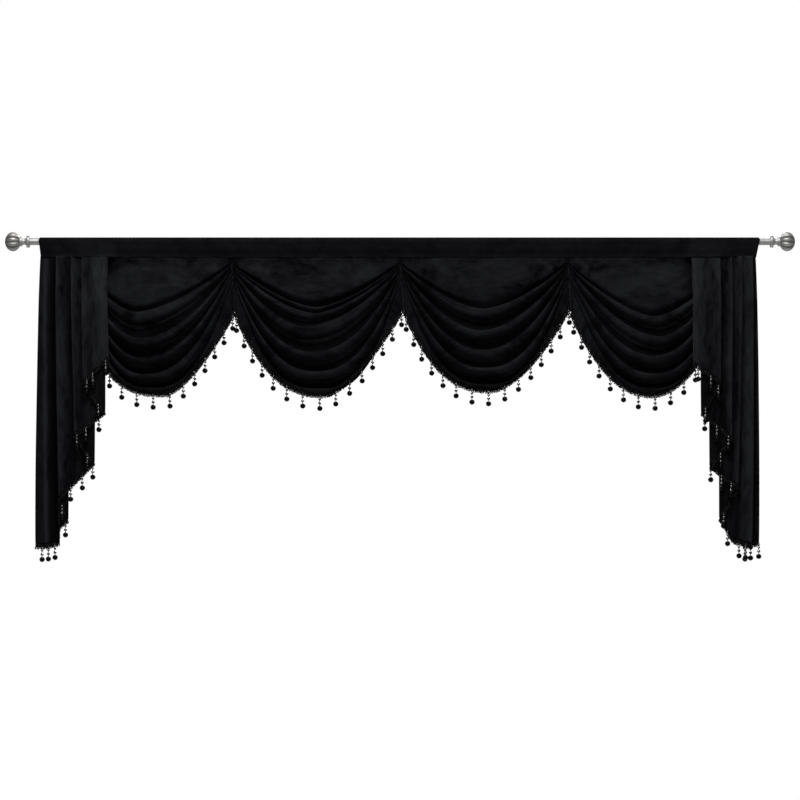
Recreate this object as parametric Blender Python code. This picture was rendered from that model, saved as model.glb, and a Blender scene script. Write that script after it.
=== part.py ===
"""Window valance of black velvet on a curtain rod: four swags, two cascade tails, bead trim on each hem.

Metres, +Z up. The origin is on the rod's axis at mid-length, X runs along the rod and the cloth faces -Y.
Run it with: blender --background --python part.py
"""

import math
from collections import namedtuple

import bmesh
import bpy
import numpy as np

# Gaps between pieces that touch
GAP = 0.0003
SEAM_GAP = 0.0006
MOST_BRAID_GAP = 0.0045  # upright, where a hem is so steep that the gap square to it is SEAM_GAP

# Rod and finials, all turned about the X axis
ROD_RADIUS = 0.0095
ROD_HALF_LENGTH = 1.0212
ROD_SIDES = 24
RIBS = 10
SIDES_PER_RIB = 3
RIB_DEPTH = 0.0042
RIB_TURN = math.radians(13)
BALL_RADIUS = 0.0265
BALL_HALF_LENGTH = 0.0218
BALL_RINGS = 7
BALL_CENTRE = 1.0679  # distance of the ball's centre from the middle of the rod
BALL_CUT = 0.35  # how much of a ring's step the neck cuts off the ball
FinialRing = namedtuple("FinialRing", "along radius")
FINIAL_NECK = (
    FinialRing(1.0485, 0.0118),
    FinialRing(1.0479, 0.0130),  # collar ring
    FinialRing(1.0430, 0.0130),
    FinialRing(1.0424, 0.0105),
    FinialRing(1.0365, 0.0086),  # waist
    FinialRing(1.0304, 0.0102),
    FinialRing(1.0298, 0.0150),
    FinialRing(1.0286, 0.0165),  # flange ring against the rod
    FinialRing(1.0224, 0.0165),
    FinialRing(1.0215, 0.0152),
)

# Heading: the pocket round the rod and its lower seam
POCKET_RADIUS = 0.0119
POCKET_ARC_STEPS = 6
POCKET_STATIONS = 26
HEADING_THICKNESS = 0.0015
HEADING_TOP_HALF_LENGTHS = (0.9975, 0.9950)
HEADING_SEAM_HALF_LENGTHS = (0.9905, 0.9822)
HEADING_SEAM_Z = -0.0436
HEADING_MID_Z = -0.0240
SEAM_FRONT = 0.0034  # how far the sewn edge stands in front of the rod's axis plane
SEAM_BACK = 0.0010
MID_BACK = 0.0068
MID_FULLNESS = 0.55  # how much of the pocket's radius is left half way down its front
PUCKER = 0.0012
PuckerWave = namedtuple("PuckerWave", "per_metre phase share")
PUCKER_WAVES = (PuckerWave(31.0, 0.6, 1.0), PuckerWave(57.0, 2.1, 0.7))
SeamBulk = namedtuple("SeamBulk", "from_middle extra")  # the tails' pleats are caught in the seam
SEAM_BULKS = (
    SeamBulk(0.782, 0.0),
    SeamBulk(0.798, 0.0174),
    SeamBulk(0.885, 0.0174),
    SeamBulk(0.955, 0.0030),
)

# Swags
SWAG_TOP_Z = HEADING_SEAM_Z - SEAM_GAP - GAP
SWAG_THICKNESS = 0.0015
SWAG_SIDE_OUT = 0.0024
BRAID_DROP = 0.0090  # upright height of the braid below the cloth's own hem
DROPS_PER_SWAG = 15
LAST_DROP = 0.008  # from the hem's right end, along it
SIDE_SHARES = (0.165, 0.28, 0.44, 0.59, 0.77)  # height of each fold on the gathered side seams
UPPER_ROWS = ((0.34, 0.011), (0.70, 0.024))  # share of the way to the first fold, distance out
UPPER_SIDE_SHARE = 0.8
UPPER_LOW_SHARE = 0.49
UPPER_POWER = 1.9
HEM_SHAPE_FROM = 0.5  # share of the drop from which the rows take on the hem's own shape
ARCH_POWER = 0.8
TUCK_POWER = 0.8
TUCK_RISE = 0.0055
TUCK_SIDE_RISE = 0.045
BELLY_SHARE = 0.45
BELLY_OUT = 0.002
HEM_OUT = 0.036
FINE_STEPS = 2001  # samples of a smooth line that is measured along

# A seam is where two swags meet: the gathered line from the heading down to the notch in the hem
Seam = namedtuple("Seam", "top_x notch_x notch_z_left_of_it notch_z_right_of_it")
SEAMS = (
    Seam(-0.8883, -0.8883, -0.1940, -0.1940),
    Seam(-0.4651, -0.4560, -0.2006, -0.2030),
    Seam(-0.0011, 0.0097, -0.1905, -0.1964),
    Seam(0.4623, 0.4703, -0.1842, -0.2016),
    Seam(0.9103, 0.9103, -0.1829, -0.1829),
)

# The hem's outline under each swag, the first bead string's distance along it, and the height and
# reach of each fold's ridge at its lowest point
Swag = namedtuple("Swag", "hem_low_z low_share power_left power_right first_drop folds")
Fold = namedtuple("Fold", "ridge_z out tuck")
SWAGS = (
    Swag(-0.4262, 0.565, 3.00, 1.47, 0.010, (
        Fold(-0.1950, 0.030, 0.006),
        Fold(-0.2668, 0.039, 0.013),
        Fold(-0.3203, 0.043, 0.014),
        Fold(-0.3655, 0.044, 0.014),
        Fold(-0.4035, 0.042, 0.011),
    )),
    Swag(-0.4290, 0.535, 2.48, 1.52, 0.011, (
        Fold(-0.1815, 0.029, 0.007),
        Fold(-0.2339, 0.038, 0.012),
        Fold(-0.3043, 0.044, 0.015),
        Fold(-0.3581, 0.045, 0.014),
        Fold(-0.4050, 0.042, 0.011),
    )),
    Swag(-0.4159, 0.514, 2.46, 1.71, 0.015, (
        Fold(-0.1857, 0.030, 0.007),
        Fold(-0.2452, 0.038, 0.013),
        Fold(-0.2988, 0.043, 0.014),
        Fold(-0.3484, 0.045, 0.014),
        Fold(-0.3935, 0.042, 0.010),
    )),
    Swag(-0.4291, 0.504, 2.19, 1.91, 0.018, (
        Fold(-0.2066, 0.031, 0.007),
        Fold(-0.2618, 0.039, 0.013),
        Fold(-0.3153, 0.043, 0.014),
        Fold(-0.3639, 0.044, 0.014),
        Fold(-0.4036, 0.041, 0.011),
    )),
)

# Tails: one pleated sheet each, from the short inner edge in front to the long outer edge behind.
# A turn is a folded edge where the sheet doubles back, a ridge is a soft crease that it runs over.
TAIL_THICKNESS = 0.0010
TAIL_TOP_Z = SWAG_TOP_Z
TAIL_REAR_OUT = 0.0045
TAIL_LEAN = 0.026  # how far a tail's inner part is pushed out by the swag behind it
LEAN_FROM, LEAN_FULL = 0.950, 0.795
LEVEL_PITCHES = ((TAIL_TOP_Z, 0.0018), (-0.165, 0.0038), (-0.850, 0.0055))
LEAN_RAMP = ((TAIL_TOP_Z, 0.0), (-0.080, 0.22), (-0.100, 0.41), (-0.120, 0.60), (-0.165, 1.0))
TAIL_LOWER_SHARES = (0.25, 0.5, 0.75, 1.0)
TURN_ROUNDING = 0.36

# back is how many levels the sheet has gone behind when it reaches a crease, beside its turns,
# and out is how far a ridge stands out of its level at the hem
Crease = namedtuple("Crease", "kind top_x hem_x hem_z back out", defaults=(0, 0.0))
TAIL_LEFT = (
    Crease("edge", -0.8041, -0.7981, -0.3236),
    Crease("turn", -0.8745, -0.8678, -0.3925),
    Crease("turn", -0.8102, -0.8102, -0.4753),
    Crease("turn", -0.9059, -0.8913, -0.5388),
    Crease("turn", -0.8342, -0.8406, -0.6146),
    Crease("turn", -0.9470, -0.9357, -0.7098),
    Crease("turn", -0.9076, -0.9153, -0.7732),
    Crease("ridge", -0.9400, -0.9370, -0.7898),
    Crease("ridge", -0.9460, -0.9405, -0.8280, 3),
    Crease("ridge", -0.9765, -0.9738, -0.8450, 0, 0.0050),
    Crease("edge", -0.9915, -1.0044, -0.8450),
)
TAIL_RIGHT = (
    Crease("edge", 0.8028, 0.8028, -0.3388),
    Crease("ridge", 0.8541, 0.8510, -0.3732, 0, 0.0045),
    Crease("turn", 0.8811, 0.8778, -0.3898),
    Crease("turn", 0.8240, 0.8284, -0.4781),
    Crease("turn", 0.9136, 0.9095, -0.5470),
    Crease("turn", 0.8494, 0.8524, -0.6243),
    Crease("turn", 0.9426, 0.9285, -0.6811),
    Crease("turn", 0.8792, 0.8811, -0.7677),
    Crease("ridge", 0.9140, 0.9185, -0.8312, 0, -0.0015),
    Crease("turn", 0.9713, 0.9666, -0.8477),
    Crease("turn", 0.9517, 0.9490, -0.8532),
    Crease("edge", 0.9807, 0.9903, -0.8367),
)
DROPS_LEFT_TAIL = 18
DROPS_RIGHT_TAIL = 19
TAIL_FIRST_DROP = 0.016

# Trim: a braid strip and the strings of beads that hang from it
BRAID_THICKNESS = 0.0020
DROP_WIDTH = 0.0060
CORNER_MARGIN = 0.0095  # least distance along the hem from a drop to a corner of it
DROP_LEAN = 0.0040
TRIM_END_SHARE = 0.002  # of the hem's length, left bare at each end
SHARPEST_MITRE = 0.8
GAP_SLACK = 0.8
Ring = namedtuple("Ring", "below half_width lean_share")
DROP_RINGS = (
    Ring(0.0180, 0.0025, 0.55),
    Ring(0.0262, 0.0012, 0.80),
    Ring(0.0318, 0.0045, 1.00),
    Ring(0.0376, 0.0014, 1.00),
)

VELVET = ((0.007, 0.007, 0.009), 0.85, 0.0)
BEADS = ((0.004, 0.004, 0.005), 0.25, 0.0)
NICKEL = ((0.56, 0.55, 0.53), 0.30, 1.0)


def clear_scene():
    for old in list(bpy.data.objects):
        bpy.data.objects.remove(old)


def material(name, finish):
    colour, roughness, metallic = finish
    made = bpy.data.materials.new(name)
    made.use_nodes = True
    shader = made.node_tree.nodes["Principled BSDF"]
    shader.inputs["Base Color"].default_value = (*colour, 1.0)
    shader.inputs["Roughness"].default_value = roughness
    shader.inputs["Metallic"].default_value = metallic
    return made


def add_object(name, bm, finish, sharp_angle):
    bmesh.ops.recalc_face_normals(bm, faces=bm.faces)
    mesh = bpy.data.meshes.new(name)
    bm.to_mesh(mesh)
    bm.free()
    mesh.materials.append(material(name, finish))
    mesh.shade_smooth()
    mesh.set_sharp_from_angle(angle=math.radians(sharp_angle))
    made = bpy.data.objects.new(name, mesh)
    bpy.context.scene.collection.objects.link(made)
    return made


def grid_mesh(rows, closed=False):
    """A bmesh sheet through rows of points. With closed, each row is a ring."""
    bm = bmesh.new()
    verts = [[bm.verts.new(point) for point in row] for row in rows]
    for upper, lower in zip(verts, verts[1:]):
        last = len(upper) if closed else len(upper) - 1
        for i in range(last):
            j = (i + 1) % len(upper)
            corners = (upper[i], upper[j], lower[j], lower[i])
            # The diagonals of layers that lie on each other run the same way, so they don't meet.
            if upper[j].co.x < upper[i].co.x:
                corners = corners[1:] + corners[:1]
            bm.faces.new(corners[:3])
            bm.faces.new((corners[0], corners[2], corners[3]))
    return bm


def sheet(name, rows, thickness, offset=0.0, closed=False):
    """Cloth of an even thickness on the surface through rows of points."""
    made = add_object(name, grid_mesh(rows, closed), VELVET, 60)
    solidify = made.modifiers.new("thickness", "SOLIDIFY")
    solidify.thickness = thickness
    solidify.offset = offset
    solidify.use_even_offset = True
    return made


def build_rod():
    bm = bmesh.new()
    rings = []
    for x in (-ROD_HALF_LENGTH, ROD_HALF_LENGTH):
        angles = [2 * math.pi * k / ROD_SIDES for k in range(ROD_SIDES)]
        rings.append([
            bm.verts.new((x, ROD_RADIUS * math.cos(a), ROD_RADIUS * math.sin(a)))
            for a in angles
        ])
    bm.faces.new(rings[0])
    bm.faces.new(rings[1])
    edges = [bm.edges.get((ring[i - 1], ring[i])) for ring in rings for i in range(ROD_SIDES)]
    bmesh.ops.bridge_loops(bm, edges=edges)
    return add_object("rod", bm, NICKEL, 40)


def finial_profile():
    """(distance along the rod, radius, share of the rib relief) from the tip to the flange."""
    profile = []
    for k in range(1, BALL_RINGS + 1):
        angle = math.pi * (k - 0.5) / (BALL_RINGS + BALL_CUT)
        along = BALL_CENTRE + BALL_HALF_LENGTH * math.cos(angle)
        profile.append((along, BALL_RADIUS * math.sin(angle), math.sin(angle)))
    return profile + [(ring.along, ring.radius, 0.0) for ring in FINIAL_NECK]


def build_finial(name, side):
    count = RIBS * SIDES_PER_RIB
    bm = bmesh.new()
    rings = []
    for along, radius, relief in finial_profile():
        ring = []
        for k in range(count):
            angle = RIB_TURN + 2 * math.pi * k / count
            in_groove = 1.0 if k % SIDES_PER_RIB == 1 else 0.0
            r = radius - RIB_DEPTH * relief * in_groove
            ring.append(bm.verts.new((side * along, -r * math.cos(angle), r * math.sin(angle))))
        rings.append(ring)
    for outer, inner in zip(rings, rings[1:]):
        for k in range(count):
            bm.faces.new((outer[k - 1], outer[k], inner[k], inner[k - 1]))
    bm.faces.new(rings[-1])
    tip_x = side * (BALL_CENTRE + BALL_HALF_LENGTH)
    tip = bm.verts.new((tip_x, 0, 0))
    for k in range(count):
        bm.faces.new((rings[0][k - 1], rings[0][k], tip))
    return add_object(name, bm, NICKEL, 40)


def seam_bulk(x):
    """How much thicker the heading's sewn edge is where a tail's pleats are caught in it."""
    return float(np.interp(abs(x), *zip(*SEAM_BULKS)))


def pucker(x):
    return sum(PUCKER * w.share * math.sin(w.per_metre * x + w.phase) for w in PUCKER_WAVES)


def heading_ring(share):
    """One cross-section of the pocket band, as a ring of points from the front edge over the rod."""
    def at(z):
        down = np.clip((z - POCKET_RADIUS) / (HEADING_SEAM_Z - POCKET_RADIUS), 0, 1)
        left, right = (
            top + (seam - top) * down
            for top, seam in zip(HEADING_TOP_HALF_LENGTHS, HEADING_SEAM_HALF_LENGTHS)
        )
        return -left + share * (left + right)

    x_seam = at(HEADING_SEAM_Z)
    front = SEAM_FRONT + seam_bulk(x_seam)
    middle = MID_FULLNESS * POCKET_RADIUS + (1 - MID_FULLNESS) * front + abs(pucker(x_seam))
    ring = [(x_seam, -front, HEADING_SEAM_Z), (at(HEADING_MID_Z), -middle, HEADING_MID_Z)]
    for k in range(POCKET_ARC_STEPS + 1):
        angle = math.pi * k / POCKET_ARC_STEPS
        y, z = -POCKET_RADIUS * math.cos(angle), POCKET_RADIUS * math.sin(angle)
        ring.append((at(z), y, z))
    ring.append((at(HEADING_MID_Z), MID_BACK, HEADING_MID_Z))
    ring.append((x_seam, SEAM_BACK, HEADING_SEAM_Z))
    return ring


def build_heading():
    rows = [heading_ring(k / POCKET_STATIONS) for k in range(POCKET_STATIONS + 1)]
    return sheet("heading", rows, HEADING_THICKNESS, offset=-1.0, closed=True)


def sag(across, low_share, power_left, power_right):
    """Share of the drop that a hanging fold has reached, 0 at both side seams and 1 at its lowest."""
    left = across < low_share
    run = np.where(left, (low_share - across) / low_share, (across - low_share) / (1 - low_share))
    return 1 - np.clip(run, 0, 1) ** np.where(left, power_left, power_right)


def seam_x(seam, z, side):
    """X of a gathered seam at a height, moved off the seam line by half of the gap."""
    down = np.clip((SWAG_TOP_Z - z) / (SWAG_TOP_Z - seam.notch_z_left_of_it), 0, 1)
    return seam.top_x + down * (seam.notch_x - seam.top_x) + side * (GAP + SWAG_THICKNESS / 2)


def hem_ends(index):
    return SEAMS[index].notch_z_right_of_it, SEAMS[index + 1].notch_z_left_of_it


def hem_line(index, across):
    """X and Z of the outline's lower edge under a swag."""
    swag, (z_left, z_right) = SWAGS[index], hem_ends(index)
    side_z = np.where(across < swag.low_share, z_left, z_right)
    drop = sag(across, swag.low_share, swag.power_left, swag.power_right)
    z = side_z + (swag.hem_low_z - side_z) * drop
    x_left = seam_x(SEAMS[index], z_left, 1)
    x_right = seam_x(SEAMS[index + 1], z_right, -1)
    return x_left + across * (x_right - x_left), z


def hem_columns(index):
    """Shares across the swag of its left end, its drops and its right end, even along the hem."""
    fine = np.linspace(0, 1, FINE_STEPS)
    x, z = hem_line(index, fine)
    arc = np.concatenate([[0], np.cumsum(np.hypot(np.diff(x), np.diff(z)))])
    places = np.linspace(SWAGS[index].first_drop, arc[-1] - LAST_DROP, DROPS_PER_SWAG)
    return np.interp(np.concatenate([[0], places, [arc[-1]]]), arc, fine)


Row = namedtuple("Row", "side_share low_z out tuck")


def swag_rows(index):
    """The swag's rows from the heading to the hem: a tuck, a ridge and a belly for each fold."""
    swag = SWAGS[index]
    hem_low = swag.hem_low_z + BRAID_DROP
    first = swag.folds[0]
    rows = [Row(0.0, SWAG_TOP_Z, 0.0, 0.0)]
    for share, out in UPPER_ROWS:
        low_z = SWAG_TOP_Z + share * (first.ridge_z - SWAG_TOP_Z)
        rows.append(Row(share * SIDE_SHARES[0] * UPPER_SIDE_SHARE, low_z, out, 0.0))
    below = [fold.ridge_z for fold in swag.folds[1:]] + [hem_low]
    for fold, side_share, next_z in zip(swag.folds, SIDE_SHARES, below):
        rows.append(Row(side_share - TUCK_SIDE_RISE, fold.ridge_z + TUCK_RISE, fold.out, fold.tuck))
        rows.append(Row(side_share, fold.ridge_z, fold.out, 0.0))
        belly_z = fold.ridge_z + BELLY_SHARE * (next_z - fold.ridge_z)
        rows.append(Row(side_share + TUCK_SIDE_RISE, belly_z, fold.out + BELLY_OUT, 0.0))
    rows.append(Row(1.0, hem_low, HEM_OUT, 0.0))
    return rows


def swag_points(index, row, columns):
    """Points of one row. The top row is straight along the heading, the last is the hem."""
    swag, (z_left, z_right) = SWAGS[index], hem_ends(index)
    hem_low = swag.hem_low_z + BRAID_DROP
    down = (SWAG_TOP_Z - row.low_z) / (SWAG_TOP_Z - hem_low)
    spread = np.linspace(0, 1, len(columns))
    across = spread + down * (columns - spread)
    hem_share = np.clip((down - HEM_SHAPE_FROM) / (1 - HEM_SHAPE_FROM), 0, 1) ** 2
    low_share = UPPER_LOW_SHARE + hem_share * (swag.low_share - UPPER_LOW_SHARE)
    powers = [UPPER_POWER + hem_share * (p - UPPER_POWER) for p in (swag.power_left, swag.power_right)]
    side_left, side_right = (
        SWAG_TOP_Z + row.side_share * (end + BRAID_DROP - SWAG_TOP_Z) for end in (z_left, z_right)
    )
    side_z = np.where(across < low_share, side_left, side_right)
    z = side_z + (row.low_z - side_z) * sag(across, low_share, *powers)
    x_left = seam_x(SEAMS[index], side_left, 1)
    x_right = seam_x(SEAMS[index + 1], side_right, -1)
    x = x_left + across * (x_right - x_left)
    arch = np.sin(math.pi * across).clip(0) ** ARCH_POWER
    y = -(SWAG_SIDE_OUT + row.out * arch - row.tuck * arch**TUCK_POWER)
    return np.stack([x, y, z], axis=1)


def build_swag(index):
    columns = hem_columns(index)
    rows = [swag_points(index, row, columns) for row in swag_rows(index)]
    return sheet(f"swag_{index + 1}", rows, SWAG_THICKNESS)


def level_pitch(z):
    depths, pitches = zip(*reversed(LEVEL_PITCHES))
    return float(np.interp(z, depths, pitches))


def lean(x, z):
    depths, shares = zip(*reversed(LEAN_RAMP))
    inward = np.clip((LEAN_FROM - abs(x)) / (LEAN_FROM - LEAN_FULL), 0, 1)
    return TAIL_LEAN * inward * float(np.interp(z, depths, shares))


Column = namedtuple("Column", "top_x hem_x hem_z level rounding out")


def tail_columns(creases):
    """The sheet's upright lines from its inner edge to its outer one.

    A turn gives three of them, which take the sheet round from one level to the next behind it.
    """
    columns = []
    level = 0.0
    for k, crease in enumerate(creases):
        place = (crease.top_x, crease.hem_x, crease.hem_z + BRAID_DROP)
        level += crease.back
        if crease.kind != "turn":
            columns.append(Column(*place, level, 0.0, crease.out))
            continue
        way = math.copysign(TURN_ROUNDING, crease.top_x - creases[k - 1].top_x)
        for step, rounding in ((0.0, 0.0), (0.5, way), (1.0, 0.0)):
            columns.append(Column(*place, level + step, rounding, 0.0))
        level += 1.0
    return columns


def tail_heights(hem_z):
    upper = [z for z, _ in LEAN_RAMP]
    return upper + [upper[-1] + share * (hem_z - upper[-1]) for share in TAIL_LOWER_SHARES]


def tail_point(column, z, levels):
    down = (TAIL_TOP_Z - z) / (TAIL_TOP_Z - column.hem_z)
    pitch = level_pitch(z)
    x = column.top_x + down * (column.hem_x - column.top_x)
    out = TAIL_REAR_OUT + lean(x, z) + (levels - column.level) * pitch + down * column.out
    return (x + column.rounding * pitch, -out, z)


def tail_rows(creases):
    columns = tail_columns(creases)
    levels = columns[-1].level
    heights = [tail_heights(column.hem_z) for column in columns]
    return [
        [tail_point(column, heights[i][j], levels) for i, column in enumerate(columns)]
        for j in range(len(heights[0]))
    ]


def build_tail(name, creases):
    return sheet(name, tail_rows(creases), TAIL_THICKNESS)


def side_normals(points):
    """Level vectors across a line of points, lengthened at a corner so that the strip stays even."""
    plan = np.asarray(points)[:, :2]
    along = np.diff(plan, axis=0)
    along /= np.linalg.norm(along, axis=1)[:, None]
    across = np.stack([along[:, 1], -along[:, 0]], axis=1)
    before = np.concatenate([across[:1], across])
    after = np.concatenate([across, across[-1:]])
    both = before + after
    scale = 2 / np.maximum((both**2).sum(axis=1), SHARPEST_MITRE)
    return np.concatenate([both * scale[:, None], np.zeros((len(plan), 1))], axis=1)


def upright_gaps(line):
    """The gap straight down from each point of a hem that leaves SEAM_GAP square to the hem."""
    run = np.diff(line, axis=0)
    steepness = np.linalg.norm(run, axis=1) / np.linalg.norm(run[:, :2], axis=1)
    steepest = np.maximum(np.append(steepness, 0), np.insert(steepness, 0, 0))
    return np.minimum(SEAM_GAP * (steepest + GAP_SLACK), MOST_BRAID_GAP)


def build_trim(name, line, drops):
    """Braid under a hem line, with a bead string from each stretch whose index is in drops."""
    line = np.asarray(line, float)
    top = line.copy()
    top[:, 2] -= upright_gaps(line)
    low = line - (0, 0, BRAID_DROP)
    half = side_normals(line) * BRAID_THICKNESS / 2
    bm = bmesh.new()
    rings = [
        [bm.verts.new(point) for point in (t + h, b + h, b - h, t - h)]
        for t, b, h in zip(top, low, half)
    ]
    undersides = []
    for ring, after in zip(rings, rings[1:]):
        sides = [
            bm.faces.new((ring[k], after[k], after[(k + 1) % 4], ring[(k + 1) % 4]))
            for k in range(4)
        ]
        undersides.append(sides[1])
    bm.faces.new(rings[0])
    bm.faces.new(rings[-1][::-1])
    for k in drops:
        add_drop(bm, undersides[k])
    return add_object(name, bm, BEADS, 50)


def add_drop(bm, face):
    """Draws one stretch of the braid's underside out into a bead string that ends in a ball."""
    root = face.calc_center_median()
    corners = [vert.co - root for vert in face.verts]
    for ring in DROP_RINGS:
        face = bmesh.ops.extrude_discrete_faces(bm, faces=[face])["faces"][0]
        for vert, corner in zip(face.verts, corners):
            x = root.x + math.copysign(ring.half_width, corner.x)
            y = root.y + math.copysign(ring.half_width, corner.y) - ring.lean_share * DROP_LEAN
            vert.co = (x, y, root.z - ring.below)


def build_swag_trim(index):
    columns = hem_columns(index)
    fine = np.linspace(0, 1, FINE_STEPS)
    fine_hem = swag_points_at_hem(index, fine)
    arc = np.concatenate([[0], np.cumsum(np.linalg.norm(np.diff(fine_hem, axis=0), axis=1))])
    middles = np.interp(columns[1:-1], fine, arc)
    stations = [arc[-1] * TRIM_END_SHARE]
    for place in middles:
        stations += [place - DROP_WIDTH / 2, place + DROP_WIDTH / 2]
    stations.append(arc[-1] * (1 - TRIM_END_SHARE))
    line = [[np.interp(s, arc, fine_hem[:, k]) for k in range(3)] for s in stations]
    return build_trim(f"trim_swag_{index + 1}", line, range(1, len(line) - 1, 2))


def swag_points_at_hem(index, across):
    """The hem as a smooth line, whatever the columns of the cloth."""
    x, z = hem_line(index, across)
    arch = np.sin(math.pi * across).clip(0) ** ARCH_POWER
    return np.stack([x, -(SWAG_SIDE_OUT + HEM_OUT * arch), z + BRAID_DROP], axis=1)


def build_tail_trim(name, creases, count):
    hem = np.asarray(tail_rows(creases)[-1])
    lengths = np.linalg.norm(np.diff(hem, axis=0), axis=1)
    arc = np.concatenate([[0], np.cumsum(lengths)])
    places = np.linspace(TAIL_FIRST_DROP, arc[-1] - TAIL_FIRST_DROP, count)
    stations = {float(s): False for s in arc}
    for place in places:
        clear = place
        for corner in arc[1:-1]:
            if abs(corner - clear) < CORNER_MARGIN:
                clear = corner + math.copysign(CORNER_MARGIN, clear - corner)
        stations[float(clear - DROP_WIDTH / 2)] = True
        stations[float(clear + DROP_WIDTH / 2)] = False
    ordered = sorted(stations)
    line = [[np.interp(s, arc, hem[:, k]) for k in range(3)] for s in ordered]
    return build_trim(name, line, [k for k, s in enumerate(ordered) if stations[s]])


def main():
    clear_scene()
    build_rod()
    build_finial("finial_left", -1)
    build_finial("finial_right", 1)
    build_heading()
    for index in range(len(SWAGS)):
        build_swag(index)
        build_swag_trim(index)
    build_tail("tail_left", TAIL_LEFT)
    build_tail("tail_right", TAIL_RIGHT)
    build_tail_trim("trim_tail_left", TAIL_LEFT, DROPS_LEFT_TAIL)
    build_tail_trim("trim_tail_right", TAIL_RIGHT, DROPS_RIGHT_TAIL)


main()
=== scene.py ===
"""Looks of a black velvet window valance on its curtain rod.

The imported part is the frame. Every cloth, trim and finial here stands for the solid of the same name,
in the same place, and the rod keeps its solid. Metres, +Z up, the cloth faces -Y.
"""

import logging
import math
from collections.abc import Callable, Sequence
from dataclasses import dataclass
from enum import Enum

import bmesh
import bpy
import numpy as np
from mathutils import Matrix, Vector, noise


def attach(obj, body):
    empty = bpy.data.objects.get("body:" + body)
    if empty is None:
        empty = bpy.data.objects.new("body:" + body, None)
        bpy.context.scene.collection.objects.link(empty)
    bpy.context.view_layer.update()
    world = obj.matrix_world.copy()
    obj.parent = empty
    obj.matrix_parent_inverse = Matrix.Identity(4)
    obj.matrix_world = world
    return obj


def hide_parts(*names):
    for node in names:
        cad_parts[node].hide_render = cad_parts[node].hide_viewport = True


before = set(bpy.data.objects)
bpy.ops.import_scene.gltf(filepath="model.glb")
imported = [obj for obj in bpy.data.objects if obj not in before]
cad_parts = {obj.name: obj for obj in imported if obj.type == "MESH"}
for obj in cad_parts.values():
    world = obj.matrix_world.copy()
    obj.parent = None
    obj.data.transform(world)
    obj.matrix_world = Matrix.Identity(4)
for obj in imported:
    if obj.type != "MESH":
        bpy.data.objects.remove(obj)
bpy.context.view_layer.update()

LOG = logging.getLogger("valance")

# Sizes that the pieces share with the solids: where swags and tails are sewn on, the heading's lower
# edge, the braid's height, the gap at a sewn seam, and the inner edges of the tails
TOP_Z = -0.0445
SEAM_Z = -0.0436
BRAID_DROP = 0.0090
SEWN_GAP = 0.0003
TAIL_INNER_X = 0.803

# How far the swags and tails run up behind the heading
TUCKED_UP = 0.005
# Steps that a smooth line takes from one given point to the next
FINE_STEPS = 3
# Points that are nearer than this are one
SAME_PLACE = 1e-6
# The least length that a direction is divided by
TINY = 1e-9

Colour = tuple[float, float, float, float]
Triple = tuple[float, float, float]
Value = bpy.types.NodeSocket | float | tuple


class Side(Enum):
    """An end of the rod."""

    LEFT = -1
    RIGHT = 1


class Bend(Enum):
    """What a tail's cloth does at an upright line."""

    EDGE = "edge"
    RIDGE = "ridge"
    TURN = "turn"


# Shader trees


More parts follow.
